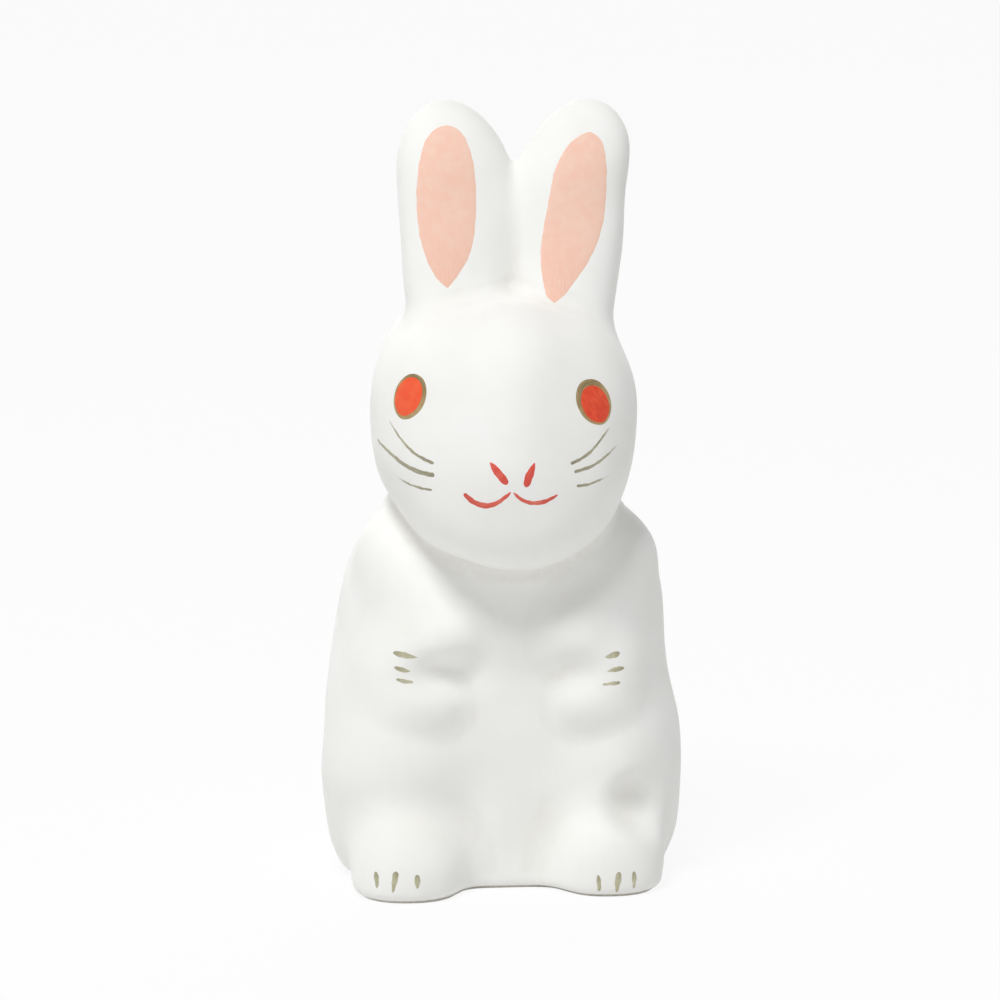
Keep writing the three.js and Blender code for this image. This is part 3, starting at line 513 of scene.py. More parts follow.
EAR_DEPTH_SHARES = [(0, 1.3), (0.333, 1.11), (0.667, 1), (1, 0.87)]
SWEEP_SHARES = [(0, 0), (0.333, 0.43), (0.667, 0.76), (1, 1)]
EAR_ROOT = HEAD_TOP - EAR_SEAT
EAR_TIP = EAR_ROOT + EAR_LENGTH


def up_ear(z):
    return (z - EAR_ROOT) / EAR_LENGTH


def ear_middle(name, z):
    """How far across the middle of an ear is, at a height."""
    return NOSE_ASIDE + SIDES[name] * (EAR_ASIDE + EAR_LEAN[name] * along(up_ear(z), LEAN_OUT_SHARES))


def ear(x, y, z, name):
    """One ear, a flattened petal with a round cap."""
    w = EAR_HALF_WIDTH * along(up_ear(z), EAR_WIDTH_SHARES)
    d = EAR_HALF_DEPTH * along(up_ear(z), EAR_DEPTH_SHARES)
    swept = -HEAD_FORWARD - EAR_AHEAD + EAR_SWEEP * along(up_ear(z), SWEEP_SHARES)
    flat = np.abs((x - ear_middle(name, z)) / w) ** EAR_SQUARENESS
    thick = np.abs((y - swept) / d) ** EAR_SQUARENESS
    cap = np.maximum(z - (EAR_TIP - EAR_CAP[name]), 0) / EAR_CAP[name]
    return (np.hypot((flat + thick) ** (1 / EAR_SQUARENESS), cap) - 1) * d


def ears(x, y, z):
    """Both ears and the web between them."""
    both = join(ear(x, y, z, "left"), ear(x, y, z, "right"), EAR_GROOVE)
    web = (NOSE_ASIDE, SEAM_Y, HEAD_TOP - WEB_SEAT)
    web_half = (WEB_HALF_WIDTH, WEB_HALF_DEPTH, WEB_RISE + WEB_SEAT)
    return join(both, egg(x, y, z, web, web_half, WEB_SQUARENESS), WEB_FILLET)


print("the ear tips are", EAR_TIP, "mm up")

# %% [markdown]
# ## Made by hand
# Pasted paper never dries quite flat. Slow swells about a tenth of a millimetre high, one to the
# centimetre, are enough to break up a highlight. They go into the form itself rather than into a
# bump texture, so that they show on the outline too. The foot is cut flat where the card goes on,
# and its edge is rubbed round.

# %% The rabbit's whole skin
NECK_FILLET = 1.2
SWELL = 0.07
FOOT_CUT = 0.22
FOOT_ROUNDING = 1.1
SWELL_WAVES = [
    ((0.41, 0.12, 0.33), 0.4), ((-0.23, 0.38, 0.29), 2.1), ((0.15, -0.44, 0.36), 4.0),
    ((0.52, 0.31, -0.21), 1.2), ((-0.34, 0.19, 0.55), 5.3),
]


def swell(x, y, z):
    """How far the dry paper stands out or in, from slow waves that never line up."""
    waves = (np.sin(a * x + b * y + c * z + phase) for (a, b, c), phase in SWELL_WAVES)
    return SWELL * sum(waves) / 2


def rabbit(x, y, z):
    """The whole rabbit: negative inside, zero on its skin."""
    upper = join(head(x, y, z), ears(x, y, z), EAR_FILLET)
    form = join(body(x, y, z), upper, NECK_FILLET) - swell(x, y, z)
    return press(form, z - FOOT_CUT, FOOT_ROUNDING)


depth = float(rabbit(NOSE_ASIDE, face_front(0), HEAD_LEVEL))
print("on the tip of the nose the form reads", round(depth, 2))

# %% [markdown]
# ## From the form to a mesh
# To draw the skin, the form is measured on a grid of small cells. Each cell that the skin passes
# through gets one point, at the average of the places where the skin cuts its edges, and each cut
# edge gets one four-sided face. Then every point is moved along the form's slope until it lies
# exactly on the skin. The result is even, four-sided and closed.

# %% Measure the form on a grid
CELL = 0.5
GRID_MARGIN = 2


def measure(low, high):
    """The form's value at every corner of a grid of cells, one level at a time."""
    axes = [np.arange(a, b + CELL, CELL) for a, b in zip(low, high)]
    x, y = np.meshgrid(axes[0], axes[1], indexing="ij")
    return axes, np.stack([rabbit(x, y, z) for z in axes[2]], axis=2)


low, high = (np.array(corner) / MM for corner in cad_box)
axes, value = measure(low - GRID_MARGIN, high + GRID_MARGIN)
print("the form is measured at", value.size, "places")

# %% Set a point in each cell that the skin passes through
def cell_points(axes, value):
    """One point in each cell that the skin passes through, and the number of each such cell."""
    inside = value < 0
    counts = [side - 1 for side in inside.shape]
    corner = [(i, j, k) for i in (0, 1) for j in (0, 1) for k in (0, 1)]
    nx, ny, nz = counts
    total = sum(inside[i:i + nx, j:j + ny, k:k + nz].astype(int) for i, j, k in corner)
    crossed = (total > 0) & (total < 8)
    number = np.full(crossed.shape, -1)
    number[crossed] = np.arange(crossed.sum())
    at = np.array(np.nonzero(crossed))
    place, cuts = np.zeros(at.shape), np.zeros(at.shape[1])
    for axis in range(3):
        for start in (c for c in corner if c[axis] == 0):
            end = [c + (i == axis) for i, c in enumerate(start)]
            a = value[tuple(at + np.array(start)[:, None])]
            b = value[tuple(at + np.array(end)[:, None])]
            cut = (a < 0) != (b < 0)
            share = np.where(cut, a / np.where(cut, a - b, 1), 0)
            for i in range(3):
                place[i] += np.where(cut, start[i] + (share if i == axis else 0), 0)
            cuts += cut
    origin = np.array([axis[0] for axis in axes])
    return origin + (at + place / cuts).T * CELL, number, inside


points, number, inside = cell_points(axes, value)
print("the skin has", len(points), "points")

# %% Join the points with faces
def cell_faces(number, inside):
    """One face round each grid edge that the skin cuts, turned to face outwards."""
    faces = []
    for axis in range(3):
        others = [i for i in range(3) if i != axis]
        ahead = np.roll(inside, -1, axis)
        cut = np.zeros_like(inside)
        core = (slice(1, -1),) * 3
        cut[core] = (inside != ahead)[core]
        edges = np.array(np.nonzero(cut))
        ring = []
        for step in ((-1, -1), (0, -1), (0, 0), (-1, 0)):
            cell = edges.copy()
            cell[others[0]] += step[0]
            cell[others[1]] += step[1]
            ring.append(number[tuple(cell)])
        ring = np.stack(ring, 1)
        turned = inside[tuple(edges)] == (axis == 1)
        ring[turned] = ring[turned][:, ::-1]
        faces.append(ring)
    return np.concatenate(faces)


faces = cell_faces(number, inside)
print("the skin has", len(faces), "faces")

# %% Settle the points on the skin
SLOPE_STEP = 0.04
LEAST_SLOPE = 0.05
SETTLE_ROUNDS = 3


def slope(points):
    """How fast the form grows along x, y and z at each point."""
    steps = np.eye(3) * SLOPE_STEP
    ahead = [rabbit(*(points + step).T) for step in steps]
    behind = [rabbit(*(points - step).T) for step in steps]
    return (np.stack(ahead, 1) - np.stack(behind, 1)) / (2 * SLOPE_STEP)


def outward(points):
    """The direction straight out of the skin at each point."""
    steep = slope(points)
    return steep / np.linalg.norm(steep, axis=1, keepdims=True)


def settle(grid):
    """Moves a list or a grid of points near the skin straight onto it."""
    points = grid.reshape(-1, 3)
    for _ in range(SETTLE_ROUNDS):
        steep = slope(points)
        share = rabbit(*points.T) / np.maximum((steep ** 2).sum(1), LEAST_SLOPE)
        points = points - steep * share[:, None]
    return points.reshape(grid.shape)


points = settle(points)
print("the furthest point is now", round(float(np.abs(rabbit(*points.T)).max()), 4), "mm off the skin")

# %% [markdown]
# ## Rubbed ridges and shaded creases
# A white ground wears thin on what stands out, and what lies low is painted a little darker: that is
# painted shade. Both can be read from the form: on a ridge its value rises on every side, in a
# crease it falls. That reading is kept on each point of the mesh, and the finish uses it.

# %% Read ridges and creases
RIDGE_REACH = 0.9
RIDGE_GAIN = 2


def ridges(points):
    """About +1 on a sharp ridge, 0 on the flat and -1 in a sharp crease."""
    steps = np.vstack([np.eye(3), -np.eye(3)]) * RIDGE_REACH
    around = sum(rabbit(*(points + step).T) for step in steps)
    bend = (around - 6 * rabbit(*points.T)) / RIDGE_REACH ** 2
    return np.clip(bend * RIDGE_GAIN, -1, 1)


ridge = ridges(points)
print("share of the skin that is ridge:", round(float((ridge > 0.5).mean()), 3))

# %% [markdown]
# ## Making pieces
# Every piece is made the same way: points in millimetres, faces, the finish, the names of the
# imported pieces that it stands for, and the one body that it rides on. Points that fall on the same
# place are merged, all faces are turned outwards, and an edge with a sharp fold is shaded sharp.

# %% A helper that makes a piece
SAME_PLACE = 2e-6
SHARP_FOLD = math.radians(55)


def close_up(mesh):
    """Merges points on one place, turns the faces outwards and marks sharp folds."""
    build = bmesh.new()
    build.from_mesh(mesh)
    bmesh.ops.remove_doubles(build, verts=build.verts, dist=SAME_PLACE)
    bmesh.ops.recalc_face_normals(build, faces=build.faces)
    for face in build.faces:
        face.smooth = True
    for edge in build.edges:
        edge.smooth = edge.calc_face_angle(0) < SHARP_FOLD
    build.to_mesh(mesh)
    build.free()


def make_piece(name, points, faces, finish, stands_for, readings=None):
    """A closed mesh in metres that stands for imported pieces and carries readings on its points."""
    mesh = bpy.data.meshes.new(name)
    mesh.from_pydata((np.asarray(points) * MM).tolist(), [], [list(face) for face in faces])
    mesh.update()
    for label, numbers in (readings or {}).items():
        numbers = np.asarray(numbers, np.float32)
        kind, field = ("FLOAT_VECTOR", "vector") if numbers.ndim == 2 else ("FLOAT", "value")
        mesh.attributes.new(label, kind, "POINT").data.foreach_set(field, numbers.ravel())
    close_up(mesh)
    mesh.materials.append(finish)
    piece = put_in_scene(name, mesh)
    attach(piece, "root")
    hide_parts(*stands_for)
    return piece


# %% [markdown]
# ## A small kit for finishes
# Each finish is a few nodes: where on the rabbit we are, some noise at a real scale, and a mix of
# two or three tones. These helpers keep that short.

# %% Helpers for finishes
PAPER_SIZE, PAPER_DEPTH = 4.2, 0.07


def stretched(tree, where, stretch):
    """Coordinates stretched along an axis, for brush marks."""
    mapping = tree.nodes.new("ShaderNodeMapping")
    fill_sockets(tree, mapping, {"Vector": where, "Scale": stretch})
    return mapping.outputs["Vector"]


def place_on_rabbit(tree, stretch=(1, 1, 1)):
    """Coordinates in metres on the object."""
    return stretched(tree, tree.nodes.new("ShaderNodeTexCoord").outputs["Object"], stretch)


def noise(tree, where, size_mm, detail=3.0, rough=0.5):
    """Soft noise whose lumps are about this many millimetres wide."""
    texture = tree.nodes.new("ShaderNodeTexNoise")
    scale = 1 / (size_mm * MM)
    fill_sockets(tree, texture, {"Vector": where, "Scale": scale, "Detail": detail, "Roughness": rough})
    return texture.outputs["Fac"]


def reading(tree, label, kind="Fac"):
    """A number kept on the mesh's points, or a place when its kind is Vector."""
    attribute = tree.nodes.new("ShaderNodeAttribute")
    attribute.attribute_name = label
    return attribute.outputs[kind]


def blend_tones(tree, share, first, second):
    """Mixes two tones, each a colour or another mix's output."""
    mix = tree.nodes.new("ShaderNodeMix")
    mix.data_type = "RGBA"
    first, second = ((*tone, 1) if isinstance(tone, tuple) else tone for tone in (first, second))
    fill_sockets(tree, mix, {"Factor": share, 6: first, 7: second})
    return mix.outputs[2]


def paper_swell(tree, where):
    """The slow swells of the pasted paper, with their depth in mm."""
    return noise(tree, where, PAPER_SIZE, 2, 0.4), PAPER_DEPTH


def relief(tree, heights):
    """Bumps from (height, depth in mm) pairs, the coarsest first."""
    under = {}
    for height, depth_mm in heights:
        bump = tree.nodes.new("ShaderNodeBump")
        fill_sockets(tree, bump, {"Strength": 1, "Distance": depth_mm * MM, "Height": height, **under})
        under = {"Normal": bump.outputs["Normal"]}
    return under["Normal"]


print("finish helpers are ready")

# %% [markdown]
# ## The white ground
# Gofun is ground oyster shell in thin glue, brushed on in many coats. It is matt, a touch warmer
# than pure white, and it keeps the drag of the brush, faint specks of grit and the softened edges
# of the paper under it. A plain white shader would look like plastic, so the finish has them all.

# %% Mix the white ground
SHELL_WHITE = (0.905, 0.905, 0.885)
SHELL_CREAM = (0.872, 0.868, 0.835)
# The tone of the painted shade in creases.
CREASE_SHADE_TONE = (0.80, 0.79, 0.745)
RUB_TONE = (0.885, 0.865, 0.805)
GROUND_ROUGHNESS = 0.72
CLOUD_SIZE, FLECK_SIZE, DRAG_SIZE, GRIT_SIZE = 9, 0.8, 0.55, 0.16
DRAG_STRETCH = (1, 1, 0.16)
DRAG_DEPTH, GRIT_DEPTH = 0.018, 0.006


def white_ground():
    """Matt shell white with brush drag, grit, paper edges, rubbed ridges and painted shade in creases."""
    finish, tree, shader = new_finish("white_ground", GROUND_ROUGHNESS)
    plain = place_on_rabbit(tree)
    cloud = spread(tree, noise(tree, plain, CLOUD_SIZE, 4), 0.35, 0.7)
    tone = blend_tones(tree, cloud, SHELL_WHITE, SHELL_CREAM)
    bend = reading(tree, "ridge")
    fleck = noise(tree, plain, FLECK_SIZE, 5, 0.65)
    # Painted shade: the creases are darkened, broken up by the specks.
    crease_shade_breakup = spread(tree, fleck, 0.3, 0.6, 0.35, 0.8)
    crease = combine(tree, "MULTIPLY", spread(tree, bend, -0.15, -0.9), crease_shade_breakup)
    tone = blend_tones(tree, crease, tone, CREASE_SHADE_TONE)
    worn = spread(tree, fleck, 0.52, 0.7, 0, 0.55)
    rubbed = combine(tree, "MULTIPLY", spread(tree, bend, 0.35, 1), worn)
    tone = blend_tones(tree, rubbed, tone, RUB_TONE)
    drag = noise(tree, place_on_rabbit(tree, DRAG_STRETCH), DRAG_SIZE, 4, 0.6)
    grit = noise(tree, plain, GRIT_SIZE, 2, 0.5)
    matt = spread(tree, drag, 0.3, 0.7, 0.66, 0.8)
    bumps = relief(tree, [paper_swell(tree, plain), (drag, DRAG_DEPTH), (grit, GRIT_DEPTH)])
    fill_sockets(tree, shader, {"Base Color": tone, "Roughness": matt, "Normal": bumps})
    return finish


strips = [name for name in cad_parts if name.startswith("seam_strip")]
coat = make_piece(
    "white_ground_coat", points, faces, white_ground(),
    ["shell_front", "shell_back", *strips], {"ridge": ridge},
)

# %% [markdown]
# ## The base card
# A piece of card is pasted under the open foot and trimmed just inside the edge of the shell, so
# that it doesn't show. It is what the rabbit really stands on, and from the front it is only a thin
# dark line. Its outline is found by walking out from the middle until the form ends.

# %% Walk out to the skin
WALK_STEP = 0.8
WALK_STEPS = 70
WALK_HALVINGS = 18


def walk_out(start, direction, level=0.0, form=rabbit):
    """From points inside, the first places along their directions where the form passes a level."""
    start, direction = np.atleast_2d(start), np.atleast_2d(direction)
    direction = direction / np.linalg.norm(direction, axis=1, keepdims=True)
    steps = np.arange(1, WALK_STEPS) * WALK_STEP
    outside = np.stack([form(*(start + direction * t).T) >= level for t in steps], 1)
    far = steps[np.argmax(outside, axis=1)]
    near = far - WALK_STEP
    for _ in range(WALK_HALVINGS):
        half = (near + far) / 2
        out = form(*(start + direction * half[:, None]).T) >= level
        near, far = np.where(out, near, half), np.where(out, half, far)
    return start + direction * ((near + far) / 2)[:, None]


nose_tip = walk_out((NOSE_ASIDE, 0, HEAD_LEVEL - MUZZLE_DROP), (0, -1, 0))[0]
print("the muzzle reaches y =", round(nose_tip[1], 2), "mm")

# %% Cut the base card
CARD_INSET = 0.8
CARD_THICK = 0.8
CARD_EDGE = 0.1
CARD_POINTS = 260
CARD_TONE = (0.74, 0.71, 0.63)
CARD_FIBRE = (0.62, 0.58, 0.50)
CARD_ROUGHNESS = 0.85
FIBRE_STRETCH = (1, 0.14, 1)
FIBRE_SIZE, FIBRE_DEPTH = 0.5, 0.02
CARD_PROFILE = [
    (0.35, 0), (0.7, 0), (0.993, 0), (1, CARD_EDGE),
    (1, CARD_THICK - CARD_EDGE), (0.993, CARD_THICK), (0.6, CARD_THICK),
]


def card_finish():
    """Grey-cream card with long fibres."""
    finish, tree, shader = new_finish("base_card", CARD_ROUGHNESS)
    fibres = noise(tree, place_on_rabbit(tree, FIBRE_STRETCH), FIBRE_SIZE, 5, 0.6)
    tone = blend_tones(tree, spread(tree, fibres, 0.4, 0.65), CARD_TONE, CARD_FIBRE)
    fill_sockets(tree, shader, {"Base Color": tone, "Normal": relief(tree, [(fibres, FIBRE_DEPTH)])})
    return finish


def base_card():
    """The foot's outline, drawn in, as a card with softened edges and rings of points inside."""
    angle = np.linspace(0, 2 * np.pi, CARD_POINTS, endpoint=False)
    direction = np.stack([np.cos(angle), np.sin(angle), 0 * angle], 1)
    centre = np.array([0, SEAM_Y, CARD_THICK])
    edge = walk_out(np.tile(centre, (CARD_POINTS, 1)), direction, -CARD_INSET, body)
    edge[:, 2] = centre[2] = 0
    rings = [centre + (edge - centre) * share + (0, 0, rise) for share, rise in CARD_PROFILE]
    points = np.vstack([*rings, centre, centre + (0, 0, CARD_THICK)])
    faces = []
    for k in range(CARD_POINTS):
        n = (k + 1) % CARD_POINTS
        for ring in range(len(rings) - 1):
            a, b = ring * CARD_POINTS, (ring + 1) * CARD_POINTS
            faces.append((a + k, b + k, b + n, a + n))
        top = (len(rings) - 1) * CARD_POINTS
        faces += [(len(points) - 2, k, n), (len(points) - 1, top + n, top + k)]
    return make_piece("base_card_trimmed", points, faces, card_finish(), ["base_card"])


card = base_card()
print("the card is", [round(side / MM, 1) for side in card.dimensions], "mm")

# %% [markdown]
# ## Paints
# The colours are pigments in thin glue: vermilion, a pink of vermilion and white, and brass powder
# for the gold. Each covers unevenly. Streaks follow the brush, the colour is deeper where the brush
# was set down and left a bead, and towards a dry end it breaks up into specks over the white. The
# gold is only about a third metallic, because each flake of brass is wrapped in glue.

# %% Mix a paint
STREAK_SIZE, WASH_SIZE, SPECK_SIZE = 0.22, 1.3, 0.12
STREAK_DEPTH, SPECK_DEPTH = 0.012, 0.004
SHEEN_RANGE = 0.08
STREAK_STRETCH = (MM, MM * 0.18, MM)


def paint(name, main, light, deep, roughness, metallic, cover):
    """A brushed paint in three tones that breaks up over the white where it is thin."""
    finish, tree, shader = new_finish(name, roughness, metallic)
    lengthways = stretched(tree, reading(tree, "brush", "Vector"), STREAK_STRETCH)
    streaks = noise(tree, lengthways, STREAK_SIZE, 4, 0.6)
    plain = place_on_rabbit(tree)
    wash = noise(tree, plain, WASH_SIZE, 3, 0.5)
    speck = noise(tree, plain, SPECK_SIZE, 4, 0.7)
    tone = blend_tones(tree, spread(tree, wash, 0.38, 0.66), main, light)
    # Deeper where the brush was set down; on the right eye's red this deep tone is painted shade.
    bead = spread(tree, reading(tree, "tail"), 0.45, 0)
    depth = combine(tree, "MULTIPLY", bead, spread(tree, streaks, 0.3, 0.6))
    tone = blend_tones(tree, depth, tone, deep)
    bare = combine(tree, "ADD", reading(tree, "thin"), combine(tree, "MULTIPLY", streaks, 0.5))
    bare = combine(tree, "ADD", bare, combine(tree, "MULTIPLY", speck, 0.5))
    bare = spread(tree, bare, cover + 0.35, cover + 0.6, 0, 0.92)
    tone = blend_tones(tree, bare, tone, SHELL_CREAM)
    if metallic:
        fill_sockets(tree, shader, {"Metallic": spread(tree, bare, 0, 1, metallic, 0)})
    sheen = spread(tree, streaks, 0.3, 0.7, roughness - SHEEN_RANGE, roughness + SHEEN_RANGE)
    bumps = relief(tree, [paper_swell(tree, plain), (streaks, STREAK_DEPTH), (speck, SPECK_DEPTH)])
    fill_sockets(tree, shader, {"Base Color": tone, "Roughness": sheen, "Normal": bumps})
    return finish


print("a paint's streaks are", STREAK_SIZE, "mm wide")

# %% Mix the seven paints
# For each slot: the paint's name, its main, light and deep tone, roughness, share of metal and cover
PAINTS = {
    "ear_pink": ("ear_pink", (0.90, 0.575, 0.455), (0.905, 0.62, 0.50), (0.87, 0.52, 0.40), 0.7, 0, 1),
    # The eye red's deep tone is the red in shade; the right eye takes it as painted shade.
    "eye_red": (
        "eye_vermilion", (0.87, 0.085, 0.022), (0.88, 0.12, 0.035), (0.66, 0.035, 0.012), 0.55, 0, 1),
    "nose_red": ("nose_red", (0.72, 0.075, 0.05), (0.76, 0.14, 0.10), (0.60, 0.05, 0.035), 0.6, 0, 0.9),
    "mouth_red": ("mouth_red", (0.70, 0.10, 0.065), (0.74, 0.17, 0.12), (0.55, 0.05, 0.035), 0.6, 0, 0.62),
    "ring_gold": ("ring_gold", (0.40, 0.29, 0.13), (0.52, 0.38, 0.19), (0.22, 0.17, 0.08), 0.45, 0.35, 1),
    "whisker_gold": (
        "whisker_gold", (0.37, 0.35, 0.245), (0.50, 0.47, 0.34), (0.25, 0.23, 0.15), 0.5, 0.25, 0.62),
    "claw_gold": (
        "claw_gold", (0.46, 0.44, 0.29), (0.60, 0.57, 0.42), (0.30, 0.28, 0.17), 0.45, 0.35, 0.62),
}
finishes = {slot: paint(*row) for slot, row in PAINTS.items()}
print(len(finishes), "paints are mixed")

# %% [markdown]
# ## Paint on the skin
# Paint is a film a few hundredths of a millimetre thick. It could be drawn with a mask in the white
# ground's own material, but then it would not be a piece that can be recoloured. So each mark is a
# thin closed mesh that lies on the skin. Its middle stands 0.03 mm proud, the gold round the eyes
# a little more, and its rim dips just below the skin, so that no edge floats. To place a mark,
# these helpers find the skin from a turn and a rise on the head, or straight ahead of a place on
# the body.

# %% Find places on the skin
def on_head(places):
    """Places on the head from (turn, rise): degrees round from the front, and mm above its middle."""
    turn, rise = np.radians([turn for turn, _ in places]), np.array([rise for _, rise in places])
    start = np.stack([0 * turn, 0 * turn - HEAD_FORWARD, HEAD_LEVEL + rise], 1)
    return walk_out(start, np.stack([np.sin(turn), -np.cos(turn), 0 * turn], 1))


def straight_ahead(x, z):
    """Places on the front skin, straight ahead of the parting plane."""
    start = np.stack([x, 0 * x + SEAM_Y, z], 1)
    return walk_out(start, np.tile((0, -1, 0), (len(x), 1)))


LINE_POINTS = 81


def crowded(count):
    """Numbers from -1 to 1 that stand closer together towards both ends."""
    return np.sin(np.linspace(-np.pi / 2, np.pi / 2, count))


def smooth_line(places, shares, easing):
    """A line past places, read at shares of its length. More easing rounds its bends off more."""
    places = np.asarray(places, float)
    gaps = np.linalg.norm(np.diff(places, axis=0), axis=1)
    at = np.concatenate([[0], np.cumsum(gaps)]) / gaps.sum()
    steps = np.linspace(0, 1, LINE_POINTS)
    line = np.stack([along(steps, list(zip(at, column))) for column in places.T], 1)
    for _ in range(easing):
        line[1:-1] += (line[:-2] + line[2:] - 2 * line[1:-1]) / 4
    return np.stack([np.interp(shares, steps, column) for column in line.T], 1), gaps.sum()


print("the middle of the face is at", on_head([(0, 0)])[0].round(1))

# %% A film of paint
FILM_PROUD = 0.03
FILM_RIM = -0.035
FILM_UNDER = -0.1
SEED_APART = 7


def paint_film(node, slot, grid, dome, brush, thin, tail, loop=False):
    """A closed film over a grid of places. Its dome is 0 at the rim and 1 where it is full."""
    rows, columns = dome.shape
    flat, full = grid.reshape(-1, 3), dome.ravel()
    out = outward(flat)
    over = flat + out * (FILM_RIM + (FILM_PROUD - FILM_RIM) * full)[:, None]
    under = np.where((full == 0)[:, None], over, flat + out * FILM_UNDER)
    faces, count = [], rows * columns
    for i in range(rows if loop else rows - 1):
        for j in range(columns - 1):
            a, b = i * columns + j, (i + 1) % rows * columns + j
            faces.append((a, b, b + 1, a + 1))
            faces.append((count + a, count + b, count + b + 1, count + a + 1))
    *brush, thin, tail = (np.tile((part + 0 * dome).ravel(), 2) for part in (*brush, thin, tail))
    readings = {"brush": np.stack(brush, 1), "thin": thin, "tail": tail}
    points = np.vstack([over, under])
    return make_piece(f"{node}_paint", points, faces, finishes[slot], [node], readings)


print("a film is", FILM_PROUD - FILM_UNDER, "mm thick, most of it sunk in the ground")

# %% [markdown]
# ## A brush stroke
# A liner brush leaves a line that is round where it is set down, swells with pressure and thins out
# where it lifts. Its edges tremble a little. So a stroke follows a line over the skin, with a width
# given at a few shares of its length, and both edges waver on their own. Where the brush ran dry
# the ground shows through: that is kept as a reading called thin.

# %% Lay a brush stroke
STROKE_ROW = 0.16
STROKE_EASING = 130
STROKE_ACROSS = crowded(9)
FEWEST_ROWS = 14
RIM_DRYNESS = 0.35
TREMBLE = 0.022
TREMBLE_WAVES = [(2.1, 1.7), (3.7, 4.1), (6.3, 0.6)]
TREMBLE_TURN = 2.4


def tremble(run, seed):
    """A small waver along an edge, in mm, that differs for each seed."""
    waves = (np.sin(rate * run + phase + TREMBLE_TURN * seed) for rate, phase in TREMBLE_WAVES)
    return TREMBLE * sum(waves)


def brush_stroke(node, slot, places, widths, dry, seed):
    """A painted line through places on the skin, with (share, mm) widths and (share, 0-1) dryness."""
    length = smooth_line(places, np.array([0.0]), 0)[1]
    rows = max(int(length / STROKE_ROW), FEWEST_ROWS)
    share = (crowded(rows) + 1) / 2
    line = settle(smooth_line(places, share, STROKE_EASING)[0])
    side = np.cross(outward(line), np.gradient(line, axis=0))
    side /= np.linalg.norm(side, axis=1, keepdims=True)
    half = along(share, widths) / 2
    cap = np.clip(np.minimum(share, 1 - share) * length / half.max(), 0, 1)
    end = np.sqrt(1 - (1 - cap) ** 2)
    left, right = ((half + tremble(share * length, seed + edge)) * end for edge in (0, 0.5))
    reach = np.where(STROKE_ACROSS < 0, left[:, None], right[:, None]) * STROKE_ACROSS
    grid = settle(line[:, None] + side[:, None] * reach[:, :, None])
    dome = np.sqrt(1 - STROKE_ACROSS ** 2) * end[:, None]
    dome[:, [0, -1]] = 0
    brush = (reach, (share * length)[:, None], SEED_APART * seed)
    thin = along(share, dry)[:, None] + RIM_DRYNESS * np.abs(STROKE_ACROSS) ** 4
    return paint_film(node, slot, grid, dome, brush, thin, share[:, None])


print("a stroke has", len(STROKE_ACROSS), "points across")

# %% [markdown]
# ## Inside the ears
# Each ear carries one long leaf of pink. It is pointed below, where the brush was set down, and
# round above. The leaf lies between two edges that run from the low point to the top, so that it
# can lean with its own ear.

# %% Paint the ears pink
PINK_ROWS = 56
PINK_EASING = 16
PINK_ACROSS = crowded(21)
PINK_RIM, PINK_DRY_RIM, PINK_DRYNESS = 0.25, 0.5, 0.45
PINK_LOW = {"left": (-1.66, 7.3), "right": (-1.74, 5.4)}
PINK_TOP = {"left": (-0.44, 27.4), "right": (0.68, 26.35)}
PINK_LEFT_EDGE = {
    "left": [(-2.75, 8.0), (-4.0, 10.3), (-4.92, 14.05), (-4.97, 19.78), (-3.75, 25.0), (-1.9, 27.2)],
    "right": [
        (-2.6, 5.6), (-3.1, 6.7), (-3.7, 9.15), (-4.04, 11.33), (-3.91, 13.88),
        (-3.4, 18.34), (-2.99, 22.14), (-1.7, 25.1), (-0.2, 26.25),
    ],
}
PINK_RIGHT_EDGE = {
    "left": [
        (-0.26, 8.78), (1.55, 11.6), (2.37, 15.34), (2.65, 19.79),
        (2.5, 23.2), (1.95, 25.6), (0.9, 27.2),
    ],
    "right": [
        (-0.95, 5.6), (-0.3, 6.4), (1.05, 8.3), (2.77, 11.28), (3.85, 15.01),
        (3.98, 19.6), (3.6, 22.5), (2.75, 24.9), (1.6, 26.2),
    ],
}


def paint_ear(name, seed):
    """The leaf of pink between its two edges."""
    share = (crowded(PINK_ROWS) + 1) / 2
    edges = [
        smooth_line([PINK_LOW[name], *edge[name], PINK_TOP[name]], share, PINK_EASING)[0]
        for edge in (PINK_LEFT_EDGE, PINK_RIGHT_EDGE)
    ]
    for k, edge in enumerate(edges):
        edge[1:-1, 0] += tremble(edge[1:-1, 1], seed + k)
    mix = (PINK_ACROSS[None, :, None] + 1) / 2
    flat = edges[0][:, None] * (1 - mix) + edges[1][:, None] * mix
    z = flat[:, :, 1] + EAR_ROOT
    x = flat[:, :, 0] + ear_middle(name, z)
    grid = straight_ahead(x.ravel(), z.ravel()).reshape(*x.shape, 3)
    width = np.linalg.norm(edges[1] - edges[0], axis=1)[:, None]
    from_edge = (1 - np.abs(PINK_ACROSS)) * width / 2
    dome = np.sqrt(np.clip(from_edge / PINK_RIM, 0, 1))
    dome[[0, -1]] = 0
    dome[:, [0, -1]] = 0
    brush = (flat[:, :, 0], flat[:, :, 1], SEED_APART * seed)
    thin = PINK_DRYNESS * np.clip(1 - from_edge / PINK_DRY_RIM, 0, 1)
    return paint_film(f"ear_pink_{name}", "ear_pink", grid, dome, brush, thin, share[:, None])


for seed, name in enumerate(SIDES):
    leaf = paint_ear(name, seed)
    print(name, "ear: the pink is", round(leaf.dimensions[2] / MM, 1), "mm tall")
